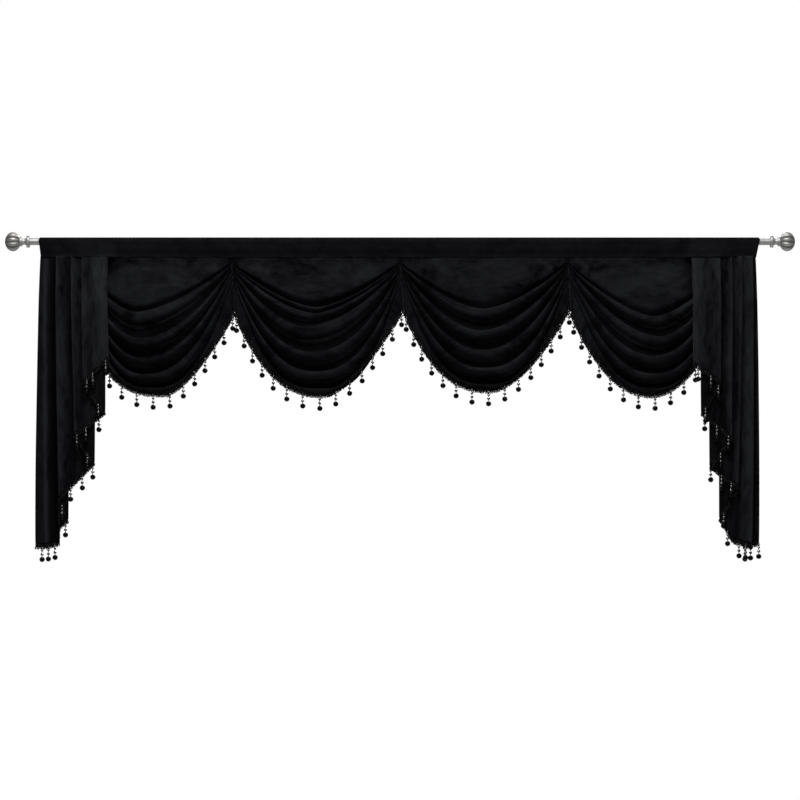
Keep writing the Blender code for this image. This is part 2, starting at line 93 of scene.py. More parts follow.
class Graph:
    """Adds the nodes of a shader tree and joins them."""

    def __init__(self, tree: bpy.types.NodeTree) -> None:
        """Keeps the tree to work on.

        Args:
            tree: A material's, a world's or a group's node tree.
        """
        self.tree = tree

    def feed(self, node: bpy.types.Node, sockets: dict[str | int, Value]) -> bpy.types.Node:
        """Sets a node's inputs, or joins what feeds them.

        Args:
            node: The node.
            sockets: Input names or numbers, each with a value or the output that feeds it.

        Returns:
            The node.
        """
        for socket, value in sockets.items():
            if isinstance(value, bpy.types.NodeSocket):
                self.tree.links.new(value, node.inputs[socket])
            else:
                node.inputs[socket].default_value = value
        return node

    def add(
        self, kind: str, sockets: dict[str | int, Value] | None = None, **settings: object
    ) -> bpy.types.Node:
        """Adds one node.

        Args:
            kind: The node's class name.
            sockets: Input names or numbers, each with a value or the output that feeds it.
            **settings: Properties to set on the node.

        Returns:
            The node.
        """
        made = self.tree.nodes.new(kind)
        for name, value in settings.items():
            setattr(made, name, value)
        return self.feed(made, sockets or {})

    def effect(self, group: bpy.types.NodeTree, sockets: dict[str | int, Value]) -> bpy.types.Node:
        """Places a shared effect with this material's own values."""
        return self.add("ShaderNodeGroup", sockets, node_tree=group)

    def math(self, operation: str, *values: Value) -> bpy.types.NodeSocket:
        """A Math node's result, from numbers or outputs."""
        return self.add("ShaderNodeMath", dict(enumerate(values)), operation=operation).outputs[0]

    def mix(self, share: Value, first: Value, second: Value) -> bpy.types.NodeSocket:
        """A colour between first and second, at a share that varies."""
        return self.add("ShaderNodeMix", {0: share, 6: first, 7: second}, data_type="RGBA").outputs[2]

    def noise(
        self, vector: Value, scale: Value, detail: float = 3.0, twist: float = 0.0
    ) -> bpy.types.NodeSocket:
        """A noise texture's value between 0 and 1."""
        sockets = {"Vector": vector, "Scale": scale, "Detail": detail, "Distortion": twist}
        return self.add("ShaderNodeTexNoise", sockets).outputs[0]

    def spread(
        self, value: Value, low: float, high: float, to_low: Value = 0.0, to_high: Value = 1.0
    ) -> bpy.types.NodeSocket:
        """Takes low..high to to_low..to_high, held at both ends."""
        sockets = {0: value, 1: low, 2: high, 3: to_low, 4: to_high}
        return self.add("ShaderNodeMapRange", sockets, clamp=True).outputs[0]

    def bump(self, height: Value, strength: float = 1.0) -> bpy.types.NodeSocket:
        """A bumped normal, from a height in metres."""
        sockets = {"Height": height, "Distance": 1.0, "Strength": strength}
        return self.add("ShaderNodeBump", sockets).outputs[0]

    def place(self) -> bpy.types.NodeSocket:
        """Where a point is on the object, in metres."""
        return self.add("ShaderNodeTexCoord").outputs["Object"]

    def cloth(self) -> bpy.types.NodeSocket:
        """Where a point is on its cloth laid flat, in metres."""
        return self.add("ShaderNodeUVMap", uv_map="cloth").outputs[0]

    def attribute(self, name: str) -> bpy.types.NodeSocket:
        """The value that the mesh carries under a name."""
        return self.add("ShaderNodeAttribute", attribute_name=name).outputs["Fac"]


def new_group(name: str, inputs: dict[str, tuple[str, float]], outputs: dict[str, str]) -> bpy.types.NodeTree:
    """A shader node group with its sockets.

    Args:
        name: The group's name.
        inputs: Each input's name, with its kind and its usual value.
        outputs: Each output's name, with its kind.

    Returns:
        The group's tree, with no nodes in it yet.
    """
    tree = bpy.data.node_groups.new(name, "ShaderNodeTree")
    for label, (kind, usual) in inputs.items():
        socket = tree.interface.new_socket(label, in_out="INPUT", socket_type=kind)
        if kind == "NodeSocketFloat":
            socket.default_value = usual
    for label, kind in outputs.items():
        tree.interface.new_socket(label, in_out="OUTPUT", socket_type=kind)
    return tree


def nap_group() -> bpy.types.NodeTree:
    """Velvet's nap: patches where the pile was stroked another way, and the pile's own grain.

    Returns:
        A group with the outputs Shade, from 0 dark to 1 light, and Height in metres.
    """
    tree = new_group(
        "velvet_nap",
        {
            "Vector": ("NodeSocketVector", 0.0),
            "Patches": ("NodeSocketFloat", 18.0),
            "Streaks": ("NodeSocketFloat", 60.0),
            "Share": ("NodeSocketFloat", 0.3),
            "Tilt": ("NodeSocketFloat", 0.002),
        },
        {"Shade": "NodeSocketFloat", "Height": "NodeSocketFloat"},
    )
    g = Graph(tree)
    into = g.add("NodeGroupInput")
    patches = g.noise(into.outputs["Vector"], into.outputs["Patches"], 3.0, 0.8)
    streaks = g.noise(into.outputs["Vector"], into.outputs["Streaks"], 2.0, 0.6)
    pile = g.noise(into.outputs["Vector"], 1900.0, 1.0)
    stroked = g.spread(patches, 0.36, 0.64)
    apart = g.math("SUBTRACT", g.spread(streaks, 0.36, 0.64), stroked)
    shade = g.math("MULTIPLY_ADD", apart, into.outputs["Share"], stroked)
    shade = g.math("MULTIPLY_ADD", pile, 0.1, g.math("MULTIPLY", shade, 0.9))
    lift = g.math("MULTIPLY", g.math("MULTIPLY_ADD", streaks, 0.35, patches), into.outputs["Tilt"])
    height = g.math("MULTIPLY_ADD", pile, 0.00012, lift)
    g.add("NodeGroupOutput", {"Shade": shade, "Height": height})
    return tree


def rows_group() -> bpy.types.NodeTree:
    """Fine rows of knitting or of wound thread, with uneven stitches.

    Returns:
        A group with the outputs Mask, from 0 between rows to 1 on them, and Height in metres.
    """
    tree = new_group(
        "thread_rows",
        {
            "Vector": ("NodeSocketVector", 0.0),
            "Rows": ("NodeSocketFloat", 700.0),
            "Lean": ("NodeSocketFloat", 0.6),
            "Depth": ("NodeSocketFloat", 0.0002),
        },
        {"Mask": "NodeSocketFloat", "Height": "NodeSocketFloat"},
    )
    g = Graph(tree)
    into = g.add("NodeGroupInput")
    part = g.add("ShaderNodeSeparateXYZ", {0: into.outputs["Vector"]})
    across = g.math("MULTIPLY_ADD", part.outputs[1], into.outputs["Lean"], part.outputs[0])
    turned = g.math("MULTIPLY", across, into.outputs["Rows"])
    uneven = g.math("MULTIPLY", g.noise(into.outputs["Vector"], 260.0, 2.0), 1.6)
    wave = g.math("SINE", g.math("ADD", turned, uneven))
    mask = g.spread(wave, -0.9, 0.9)
    g.add("NodeGroupOutput", {"Mask": mask, "Height": g.math("MULTIPLY", mask, into.outputs["Depth"])})
    return tree


class Effects:
    """The shared shader groups, each built once."""

    def __init__(self) -> None:
        """Builds them."""
        self.nap = nap_group()
        self.rows = rows_group()


@dataclass(frozen=True)
class Finish:
    """A material of the object, on one Principled BSDF."""

    name: str

    def sockets(self, g: Graph, effects: Effects) -> dict[str, Value]:
        """What the shader's inputs are given. Each finish has its own."""
        raise NotImplementedError(self.name)

    def build(self, effects: Effects) -> bpy.types.Material:
        """Makes the material.

        Args:
            effects: The shared effects that it may place.

        Returns:
            The material.
        """
        made = bpy.data.materials.new(self.name)
        made.use_nodes = True
        g = Graph(made.node_tree)
        g.feed(made.node_tree.nodes["Principled BSDF"], self.sockets(g, effects))
        return made


@dataclass(frozen=True)
class Velvet(Finish):
    """Black velvet's face: near-black pile with a cool sheen and an uneven nap.

    stretch draws the patches out, calm is how much of the nap's shade is left, and stroke_and_light_gain and
    stroke_and_shade_gain are how much the mesh's pile attribute lightens and darkens it. That attribute holds
    the pile's strokes together with painted light and shade: painted highlights on crests, folded edges and
    ridges, painted shade in valleys, pockets and seams, and painted shadows beside the tails and their
    panels.
    """

    name: str = "velvet_face"
    dark: Colour = (0.0022, 0.0022, 0.0028, 1.0)
    light: Colour = (0.0168, 0.0174, 0.0200, 1.0)
    stretch: Triple = (0.5, 1.0, 1.0)
    patches: float = 15.0
    streaks: float = 70.0
    streak_share: float = 0.3
    tilt: float = 0.0022
    calm: float = 1.0
    stroke_and_light_gain: float = 0.5
    stroke_and_shade_gain: float = 0.9
    darkest: float = 0.08
    sheen: float = 0.12
    sheen_roughness: float = 0.38
    tint: Colour = (0.66, 0.69, 0.77, 1.0)

    def sockets(self, g: Graph, effects: Effects) -> dict[str, Value]:
        """The shader's inputs, on the cloth's own UV map.

        Args:
            g: The material's graph.
            effects: The shared effects.

        Returns:
            Each input's value, or the output that feeds it.
        """
        nap = g.effect(
            effects.nap,
            {
                "Vector": g.add("ShaderNodeMapping", {"Vector": g.cloth(), "Scale": self.stretch}).outputs[0],
                "Patches": self.patches,
                "Streaks": self.streaks,
                "Share": self.streak_share,
                "Tilt": self.tilt,
            },
        )
        # The pile attribute is mostly painted light and shade, which lightens and darkens the base colour
        pile = g.attribute("pile")
        shade = g.math("MULTIPLY_ADD", g.math("SUBTRACT", nap.outputs["Shade"], 0.5), self.calm, 0.5)
        lift = g.math("MULTIPLY_ADD", g.math("MAXIMUM", pile, 0.0), self.stroke_and_light_gain, shade)
        held = g.math("MULTIPLY_ADD", g.math("MINIMUM", pile, 0.0), self.stroke_and_shade_gain, 1.0)
        shade = g.spread(g.math("MULTIPLY", g.math("SUBTRACT", lift, self.darkest), held), 0.0, 1.0)
        return {
            "Base Color": g.mix(shade, self.dark, self.light),
            "Roughness": g.spread(nap.outputs["Shade"], 0.0, 1.0, 0.95, 0.80),
            "Normal": g.bump(nap.outputs["Height"], 0.8),
            "Specular IOR Level": 0.0,
            "Sheen Weight": self.sheen,
            "Sheen Roughness": self.sheen_roughness,
            "Sheen Tint": self.tint,
        }


@dataclass(frozen=True)
class Knit(Finish):
    """The velvet's dull knitted back, which only shows from behind."""

    name: str = "velvet_back"
    dark: Colour = (0.0030, 0.0030, 0.0035, 1.0)
    light: Colour = (0.0120, 0.0120, 0.0128, 1.0)
    stitch_rows: float = 5200.0
    stitch_depth: float = 0.00025

    def sockets(self, g: Graph, effects: Effects) -> dict[str, Value]:
        """The shader's inputs, on the cloth's own UV map.

        Args:
            g: The material's graph.
            effects: The shared effects.

        Returns:
            Each input's value, or the output that feeds it.
        """
        uv = g.cloth()
        knit = {"Vector": uv, "Rows": self.stitch_rows, "Lean": 0.0, "Depth": self.stitch_depth}
        rows = g.effect(effects.rows, knit)
        cloudy = g.spread(g.noise(uv, 24.0, 3.0), 0.35, 0.65)
        share = g.math("MULTIPLY_ADD", cloudy, 0.5, g.math("MULTIPLY", rows.outputs["Mask"], 0.5))
        return {
            "Base Color": g.mix(share, self.dark, self.light),
            "Normal": g.bump(rows.outputs["Height"]),
            "Roughness": 0.9,
            "Specular IOR Level": 0.0,
        }


@dataclass(frozen=True)
class Gimp(Finish):
    """The braid's black rayon thread, wound in fine rows with a faint shine."""

    name: str = "braid_thread"
    dark: Colour = (0.0010, 0.0010, 0.0013, 1.0)
    light: Colour = (0.0400, 0.0402, 0.0420, 1.0)
    thread_rows: float = 6000.0
    thread_depth: float = 0.0003
    sheen: float = 0.05

    def sockets(self, g: Graph, effects: Effects) -> dict[str, Value]:
        """The shader's inputs, on Object coordinates.

        Args:
            g: The material's graph.
            effects: The shared effects.

        Returns:
            Each input's value, or the output that feeds it.
        """
        place = g.place()
        wound = {"Vector": place, "Rows": self.thread_rows, "Lean": 0.7, "Depth": self.thread_depth}
        rows = g.effect(effects.rows, wound)
        worn = g.spread(g.noise(place, 280.0, 3.0), 0.38, 0.66)
        return {
            "Base Color": g.mix(g.math("MULTIPLY", rows.outputs["Mask"], worn), self.dark, self.light),
            "Roughness": g.spread(worn, 0.3, 0.7, 0.5, 0.7),
            "Normal": g.bump(rows.outputs["Height"]),
            "Specular IOR Level": 0.0,
            "Sheen Weight": self.sheen,
        }


@dataclass(frozen=True)
class Bead(Finish):
    """Glossy black beads, each a little clouded."""

    name: str = "black_bead"
    colour: Colour = (0.0012, 0.0012, 0.0014, 1.0)
    clouded: Colour = (0.0030, 0.0030, 0.0034, 1.0)
    specular: float = 0.25
    roughness: tuple[float, float] = (0.07, 0.13)
    coat: float = 0.0

    def sockets(self, g: Graph, effects: Effects) -> dict[str, Value]:
        """The shader's inputs, on Object coordinates.

        Args:
            g: The material's graph.
            effects: The shared effects, none of which it needs.

        Returns:
            Each input's value, or the output that feeds it.
        """
        place = g.place()
        cloud = g.spread(g.noise(place, 240.0, 3.0), 0.4, 0.7)
        fine = g.math("MULTIPLY", g.noise(place, 2600.0, 2.0), 0.00002)
        return {
            "Base Color": g.mix(cloud, self.colour, self.clouded),
            "Roughness": g.spread(cloud, 0.0, 1.0, *self.roughness),
            "Normal": g.bump(fine),
            "Specular IOR Level": self.specular,
            "Coat Weight": self.coat,
            "Coat Roughness": 0.06,
            "Coat IOR": 2.0,
        }


@dataclass(frozen=True)
class Nickel(Finish):
    """Satin nickel: a soft metal with fine turning marks, with painted shade where the groove attribute is 1.
    """

    name: str = "satin_nickel"
    bright: Colour = (0.50, 0.495, 0.485, 1.0)
    dull: Colour = (0.38, 0.376, 0.369, 1.0)
    # Painted shade colour for the grooves between the ribs
    groove_painted_shade: Colour = (0.080, 0.079, 0.077, 1.0)
    mark_rows: float = 9000.0
    mark_depth: float = 0.00002

    def sockets(self, g: Graph, effects: Effects) -> dict[str, Value]:
        """The shader's inputs, on Object coordinates.

        Args:
            g: The material's graph.
            effects: The shared effects.

        Returns:
            Each input's value, or the output that feeds it.
        """
        place = g.place()
        cloud = g.spread(g.noise(place, 70.0, 4.0), 0.35, 0.7)
        turned = {"Vector": place, "Rows": self.mark_rows, "Lean": 0.0, "Depth": self.mark_depth}
        rows = g.effect(effects.rows, turned)
        # Painted shade in the grooves between the ribs
        groove = g.spread(g.attribute("groove"), 0.25, 0.9)
        return {
            "Base Color": g.mix(groove, g.mix(cloud, self.bright, self.dull), self.groove_painted_shade),
            "Roughness": g.spread(cloud, 0.0, 1.0, 0.52, 0.62),
            "Normal": g.bump(rows.outputs["Height"], 0.4),
            "Metallic": 1.0,
        }


@dataclass(frozen=True)
class Paper(Finish):
    """The studio's pale floor. It looks paler than the dim lamps make it, and lights nothing itself."""

    name: str = "pale_floor"
    pale: Colour = (0.86, 0.86, 0.86, 1.0)
    palest: Colour = (0.89, 0.89, 0.89, 1.0)
    glow: float = 0.45

    def sockets(self, g: Graph, effects: Effects) -> dict[str, Value]:
        """The shader's inputs, on Object coordinates.

        Args:
            g: The material's graph.
            effects: The shared effects, none of which it needs.

        Returns:
            Each input's value, or the output that feeds it.
        """
        faint = g.spread(g.noise(g.place(), 9.0, 2.0), 0.3, 0.7)
        seen = g.add("ShaderNodeLightPath").outputs["Is Camera Ray"]
        return {
            "Base Color": g.mix(faint, self.pale, self.palest),
            "Emission Strength": g.math("MULTIPLY", seen, self.glow),
            "Emission Color": (1.0, 1.0, 1.0, 1.0),
            "Roughness": 0.9,
        }


class Finishes:
    """Every material of the object, by what it is for."""

    def __init__(self) -> None:
        """Builds them on one set of shared effects."""
        effects = Effects()
        tail = Velvet(
            "velvet_tail_face",
            light=(0.0223, 0.0231, 0.0261, 1.0),
            stretch=(1.0, 0.30, 1.0),
            patches=18.0,
            streaks=85.0,
            streak_share=0.42,
        )
        band = Velvet("velvet_heading_face", stretch=(0.8, 1.0, 1.0), calm=0.4)
        self.velvet = Velvet().build(effects)
        self.tail_velvet = tail.build(effects)
        self.band_velvet = band.build(effects)
        self.knit = Knit().build(effects)
        self.braid = Gimp().build(effects)
        self.ball = Bead("black_ball", specular=0.08, roughness=(0.05, 0.10)).build(effects)
        self.bead = Bead("small_black_bead", specular=1.0, roughness=(0.10, 0.18), coat=1.0).build(effects)
        self.nickel = Nickel().build(effects)
        self.floor = Paper().build(effects)


# Making meshes


def finished(
    name: str, bm: bmesh.types.BMesh, materials: Sequence[bpy.types.Material], sharp: float = 60.0
) -> bpy.types.Object:
    """Turns a bmesh into a smooth-shaded object at the origin.

    Args:
        name: The piece's name.
        bm: Its mesh, which is freed.
        materials: Its material slots.
        sharp: Edges that bend more than this, in degrees, stay crisp.

    Returns:
        The object.
    """
    mesh = bpy.data.meshes.new(name)
    bm.to_mesh(mesh)
    bm.free()
    for material in materials:
        mesh.materials.append(material)
    mesh.shade_smooth()
    mesh.set_sharp_from_angle(angle=math.radians(sharp))
    made = bpy.data.objects.new(name, mesh)
    bpy.context.scene.collection.objects.link(made)
    return made


def dress(piece: bpy.types.Object, slot: str, *nodes: str) -> bpy.types.Object:
    """Fixes a piece to the part and says which solids it stands for.

    Args:
        piece: The piece.
        slot: The record's material slot. It is not used.
        *nodes: The solids.

    Returns:
        The piece.
    """
    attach(piece, "root")
    if nodes:
        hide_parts(*nodes)
    LOG.info("%s: %d faces, for %s", piece.name, len(piece.data.polygons), ", ".join(nodes) or "itself")
    return piece


def smooth_through(points: np.ndarray, steps: int) -> np.ndarray:
    """Runs a smooth line through points, along the first axis.

    Args:
        points: The points, or rows of points.
        steps: How many steps to take from each to the next.

    Returns:
        The finer points, which hold the given ones.
    """
    ends = np.concatenate([2 * points[:1] - points[1:2], points, 2 * points[-1:] - points[-2:-1]])
    t = (np.arange(steps) / steps).reshape(-1, *[1] * (points.ndim - 1))
    spans = [
        0.5 * (2 * b + (c - a) * t + (2 * a - 5 * b + 4 * c - d) * t**2 + (3 * b - a - 3 * c + d) * t**3)
        for a, b, c, d in zip(ends, ends[1:], ends[2:], ends[3:])
    ]
    return np.concatenate([*spans, points[-1:]])


def run_lengths(line: np.ndarray) -> np.ndarray:
    """The distance along a line at each of its points."""
    return np.concatenate([[0.0], np.cumsum(np.linalg.norm(np.diff(line, axis=0), axis=1))])


def along(line: np.ndarray, places: np.ndarray | float) -> np.ndarray:
    """The points of a line at distances along it."""
    runs = run_lengths(line)
    return np.stack([np.interp(places, runs, line[:, k]) for k in range(3)], axis=-1)


def cloth_mesh(points: np.ndarray, pile: np.ndarray) -> bmesh.types.BMesh:
    """A grid shaped into cloth, with a UV map in metres that follows it.

    Args:
        points: Rows of points from the top down, each from left to right seen from the front.
        pile: For each point the light and shade painted there and how the pile is stroked, from -1 dark to 1
            light.

    Returns:
        The mesh, whose front is the cloth's face.
    """
    rows, columns = points.shape[:2]
    bm = bmesh.new()
    bmesh.ops.create_grid(bm, x_segments=columns - 1, y_segments=rows - 1, size=1.0)
    widths = np.linalg.norm(np.diff(points, axis=1), axis=2).mean(axis=0)
    across = np.concatenate([[0.0], np.cumsum(widths)]) + points[0, 0, 0]
    down = np.linalg.norm(np.diff(points, axis=0), axis=2)
    down = np.concatenate([np.zeros((1, columns)), np.cumsum(down, axis=0)])
    uv = bm.loops.layers.uv.new("cloth")
    # The pile attribute holds painted light and shade along with the pile's strokes
    stroked = bm.verts.layers.float.new("pile")
    places = {}
    for vert in bm.verts:
        j = round((vert.co.x + 1) / 2 * (columns - 1))
        i = round((1 - vert.co.y) / 2 * (rows - 1))
        places[vert] = (across[j], -down[i, j])
        vert.co = points[i, j]
        vert[stroked] = float(pile[i, j])
    for face in bm.faces:
        for loop in face.loops:
            loop[uv].uv = places[loop.vert]
    return bm


def cloth_piece(
    name: str, points: np.ndarray, pile: np.ndarray, materials: Sequence[bpy.types.Material], thickness: float
) -> bpy.types.Object:
    """Velvet of an even thickness with its knitted back.

    Args:
        name: The piece's name.
        points: The face's rows of points.
        pile: The light and shade painted at each point and how the pile is stroked.
        materials: The face's material and the back's.
        thickness: How thick the cloth is.

    Returns:
        The object.
    """
    made = finished(name, cloth_mesh(points, pile), materials)
    solidify = made.modifiers.new("thickness", "SOLIDIFY")
    solidify.thickness = thickness
    solidify.offset = -1.0
    solidify.material_offset = 1
    return made


def clamped(value: float) -> float:
    """A value held between 0 and 1."""
    return min(max(value, 0.0), 1.0)


def unit(vectors: np.ndarray) -> np.ndarray:
    """Rows of vectors, each made 1 long."""
    return vectors / np.maximum(np.linalg.norm(vectors, axis=1), TINY)[:, None]


def tube(
    bm: bmesh.types.BMesh, line: np.ndarray, radii: tuple[float, float], sides: int, twist: float = 0.0
) -> None:
    """Adds a tube of an oval section along a line, from a grid that is rolled up and closed at its ends.

    Args:
        bm: The mesh to add it to.
        line: The points that it follows.
        radii: Half of its size level and square to the line, and half of its height.
        sides: How many sides it has.
        twist: How far the section turns for each metre, in radians.
    """
    tangent = np.gradient(line, axis=0)
    level = unit(np.stack([tangent[:, 1], -tangent[:, 0], np.zeros(len(line))], axis=1))
    upright = unit(np.cross(level, tangent))
    runs = run_lengths(line)
    grid = bmesh.ops.create_grid(bm, x_segments=sides, y_segments=len(line) - 1, size=1.0)["verts"]
    for vert in grid:
        angle = (vert.co.x + 1) * math.pi
        i = round((1 - vert.co.y) / 2 * (len(line) - 1))
        angle += twist * runs[i]
        vert.co = line[i] + level[i] * radii[0] * math.cos(angle) + upright[i] * radii[1] * math.sin(angle)
    bmesh.ops.remove_doubles(bm, verts=grid, dist=SAME_PLACE)
    bmesh.ops.holes_fill(bm, edges=[edge for edge in bm.edges if edge.is_boundary], sides=sides)


def spin_round(bm: bmesh.types.BMesh, geom: list, axis: Triple, steps: int) -> None:
    """Spins a profile a whole turn about a line through the origin.

    Args:
        bm: The mesh.
        geom: The profile's vertices and edges.
        axis: The line's direction.
        steps: How many steps the turn has.
    """
    turn = {"axis": axis, "cent": (0, 0, 0), "steps": steps, "angle": 2 * math.pi}
    bmesh.ops.spin(bm, geom=geom, use_merge=True, **turn)


class Stamp:
    """A small shape that is put in many places of one mesh."""

    def __init__(self, build: Callable[[bmesh.types.BMesh], None], material: int = 0) -> None:
        """Makes the shape.

        Args:
            build: Adds the shape to an empty bmesh, about the origin.
            material: The number of its material slot.
        """
        bm = bmesh.new()
        build(bm)
        for face in bm.faces:
            face.material_index = material
        self.mesh = bpy.data.meshes.new("stamp")
        bm.to_mesh(self.mesh)
        bm.free()

    def put(self, bm: bmesh.types.BMesh, place: Matrix) -> None:
        """Adds the shape at a place.

        Args:
            bm: The mesh to add it to.
            place: Moves, turns and sizes it.
        """
        copy = self.mesh.copy()
        copy.transform(place)
        bm.from_mesh(copy)
        bpy.data.meshes.remove(copy)


def placed(at: Sequence[float], size: Sequence[float] = (1, 1, 1), turn: Matrix | None = None) -> Matrix:
    """A matrix that sizes, then turns, then moves."""
    return Matrix.Translation(at) @ (turn or Matrix()) @ Matrix.Diagonal((*size, 1.0))


# The rod and what is on it


@dataclass
class Finial:
    """A ribbed ball on a waisted neck, turned about the rod's axis."""

    side: Side
    ball_centre: float = 1.0679
    ball_radius: float = 0.0265
    ball_half_length: float = 0.0218
    ribs: int = 10
    rib_depth: float = 0.0050
    rib_turn: float = math.radians(13)
    rib_columns: int = 12
    ball_rows: int = 40
    neck_steps: int = 56
    neck: tuple[tuple[float, float], ...] = (
        (1.0515, 0.0000),
        (1.0515, 0.0060),
        (1.0492, 0.0112),
        (1.0484, 0.0126),
        (1.0470, 0.0130),
        (1.0440, 0.0130),
        (1.0428, 0.0125),
        (1.0424, 0.0108),
        (1.0400, 0.0094),
        (1.0365, 0.0086),
        (1.0330, 0.0090),
        (1.0306, 0.0101),
        (1.0301, 0.0140),
        (1.0294, 0.0159),
        (1.0284, 0.0165),
        (1.0228, 0.0165),
        (1.0218, 0.0160),
        (1.0214, 0.0149),
        (1.0214, 0.0097),
        (1.0214, 0.0000),
    )

    def ball(self, bm: bmesh.types.BMesh) -> None:
        """Adds the ball, whose round ribs meet in narrow grooves.

        Args:
            bm: The mesh to add it to.
        """
        turn = Matrix.Rotation(math.pi / 2, 4, "Y")
        columns = self.ribs * self.rib_columns
        sizes = {"u_segments": columns, "v_segments": self.ball_rows, "radius": 1.0, "matrix": turn}
        groove = bm.verts.layers.float.new("groove")
        for vert in bmesh.ops.create_uvsphere(bm, **sizes)["verts"]:
            angle = math.atan2(vert.co.z, -vert.co.y) - self.rib_turn
            crown = abs(math.cos(angle * self.ribs / 2)) ** 0.75
            # The groove attribute marks where the nickel's painted shade goes
            vert[groove] = 1 - crown
            round_off = math.hypot(vert.co.y, vert.co.z)
            radius = self.ball_radius - self.rib_depth * (1 - crown) * round_off**0.5
            along_rod = self.ball_centre + vert.co.x * self.ball_half_length
            vert.co = (self.side.value * along_rod, vert.co.y * radius, vert.co.z * radius)

    def turned_neck(self, bm: bmesh.types.BMesh) -> None:
        """Adds the collar ring, waist and flange, spun from their profile.

        Args:
            bm: The mesh to add them to.
        """
        verts = [bm.verts.new((self.side.value * x, 0.0, r)) for x, r in self.neck]
        edges = [bm.edges.new(pair) for pair in zip(verts, verts[1:])]
        spin_round(bm, verts + edges, (1, 0, 0), self.neck_steps)

    def build(self, finishes: Finishes) -> bpy.types.Object:
        """Makes the finial in place of its solid.

        Args:
            finishes: The materials.

        Returns:
            The finial.
        """
        name = f"finial_{self.side.name.lower()}"
        bm = bmesh.new()
        self.ball(bm)
        self.turned_neck(bm)
        bmesh.ops.remove_doubles(bm, verts=bm.verts, dist=SAME_PLACE)
        bmesh.ops.recalc_face_normals(bm, faces=bm.faces)
        return dress(finished(f"{name}_turned", bm, [finishes.nickel], 35), "nickel", name)


@dataclass
class Rod:
    """The plain rod, which keeps its solid."""

    def build(self, finishes: Finishes) -> None:
        """Gives the solid its metal.

        Args:
            finishes: The materials.
        """
        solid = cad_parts["rod"]
        solid.data.materials.clear()
        solid.data.materials.append(finishes.nickel)


# The cloth


def fold_noise(x: float, y: float, z: float, seed: float) -> float:
    """A soft uneven value about 0 for small wrinkles."""
    return noise.noise(Vector((x, y, z + seed * 7.31)))


@dataclass
class Heading:
    """The pocket band over the rod, sewn along its lower edge and slightly gathered there.

    The half lengths are the left one and the right one. back has the height and depth of points up the band's
    back, each with its share of the gathers' pucker. bulk_x and bulk_out are how far the tails' pleats push
    the sewn edge out, by the distance from the rod's middle, and stroked is how its pile is stroked.
    """

    thickness: float = 0.0012
    pocket_radius: float = 0.0119
    top_half_lengths: tuple[float, float] = (0.9975, 0.9950)
    seam_half_lengths: tuple[float, float] = (0.9905, 0.9822)
    seam_front: float = 0.0031
    seam_back: float = 0.0008
    corner: float = 0.0050
    stations: int = 420
    round_steps: int = 8
    stroked: float = -0.10
    back: tuple[Triple, ...] = ((-0.034, 0.0040, 1.0), (-0.022, 0.0072, 0.5), (-0.010, 0.0104, 0.0))
    bulk_x: tuple[float, ...] = (0.782, 0.798, 0.885, 0.955)
    bulk_out: tuple[float, ...] = (0.0, 0.0174, 0.0174, 0.0030)

    def across(self, share: float, z: float) -> float:
        """X of a cross-section at a height; the band is narrower at its seam and at its top corners.

        Args:
            share: How far along the band the section is, from 0 to 1.
            z: The height.

        Returns:
            The X.
        """
        down = clamped((self.pocket_radius - z) / (self.pocket_radius - SEAM_Z))
        left, right = (
            top + (seam - top) * down**0.7
            for top, seam in zip(self.top_half_lengths, self.seam_half_lengths)
        )
        rounded = self.corner * (max(z, 0.0) / self.pocket_radius) ** 3
        return rounded - left + share * (left + right - 2 * rounded)

    def section(self, share: float) -> list[Triple]:
        """One cross-section, from the back of the seam over the rod to its front.

        Args:
            share: How far along the band it is, from 0 to 1.

        Returns:
            Its points.
        """
        x = self.across(share, SEAM_Z)
        front = self.seam_front + float(np.interp(abs(x), self.bulk_x, self.bulk_out))
        pucker = 0.0016 * fold_noise(x * 38, 0, 0, 1) + 0.0010 * fold_noise(x * 95, 0, 0, 2)
        middle = 0.55 * self.pocket_radius + 0.45 * front
        profile = [(self.seam_back, SEAM_Z)]
        profile += [(y + drawn * pucker, z) for z, y, drawn in self.back]
        for k in range(self.round_steps + 1):
            angle = math.pi * k / self.round_steps
            profile.append((self.pocket_radius * math.cos(angle), self.pocket_radius * math.sin(angle)))
        profile += [
            (-(0.0106 + 0.2 * (front - self.seam_front)), -0.010),
            (-middle - 0.0008 + 0.6 * pucker, -0.022),
            (-(0.75 * front + 0.0022) + pucker, -0.034),
            (-(front + 0.0005) + pucker, -0.0405),
            (-front, SEAM_Z),
        ]
        return [(self.across(share, z), y, z) for y, z in profile]

    def build(self, finishes: Finishes) -> bpy.types.Object:
        """Makes the band in place of its solid.

        Args:
            finishes: The materials.

        Returns:
            The band.
        """
        shares = np.linspace(0, 1, self.stations)
        sections = np.asarray([self.section(s) for s in shares])
        rows = smooth_through(np.swapaxes(sections, 0, 1), FINE_STEPS)
        pile = np.full(rows.shape[:2], self.stroked)
        materials = (finishes.band_velvet, finishes.knit)
        piece = cloth_piece("heading_velvet", rows, pile, materials, self.thickness)
        dress(piece, "velvet", "heading")
        return piece


@dataclass(frozen=True)
class Seam:
    """The gathered line where two swags meet, from the heading down to the notch in the hem."""

    top_x: float
    notch_x: float
    left_z: float
    right_z: float


SEAMS = (
    Seam(-0.8883, -0.8883, -0.1940, -0.1940),
    Seam(-0.4651, -0.4560, -0.2006, -0.2030),
    Seam(-0.0011, 0.0097, -0.1905, -0.1964),
    Seam(0.4623, 0.4703, -0.1842, -0.2016),
    Seam(0.9103, 0.9103, -0.1829, -0.1829),
)


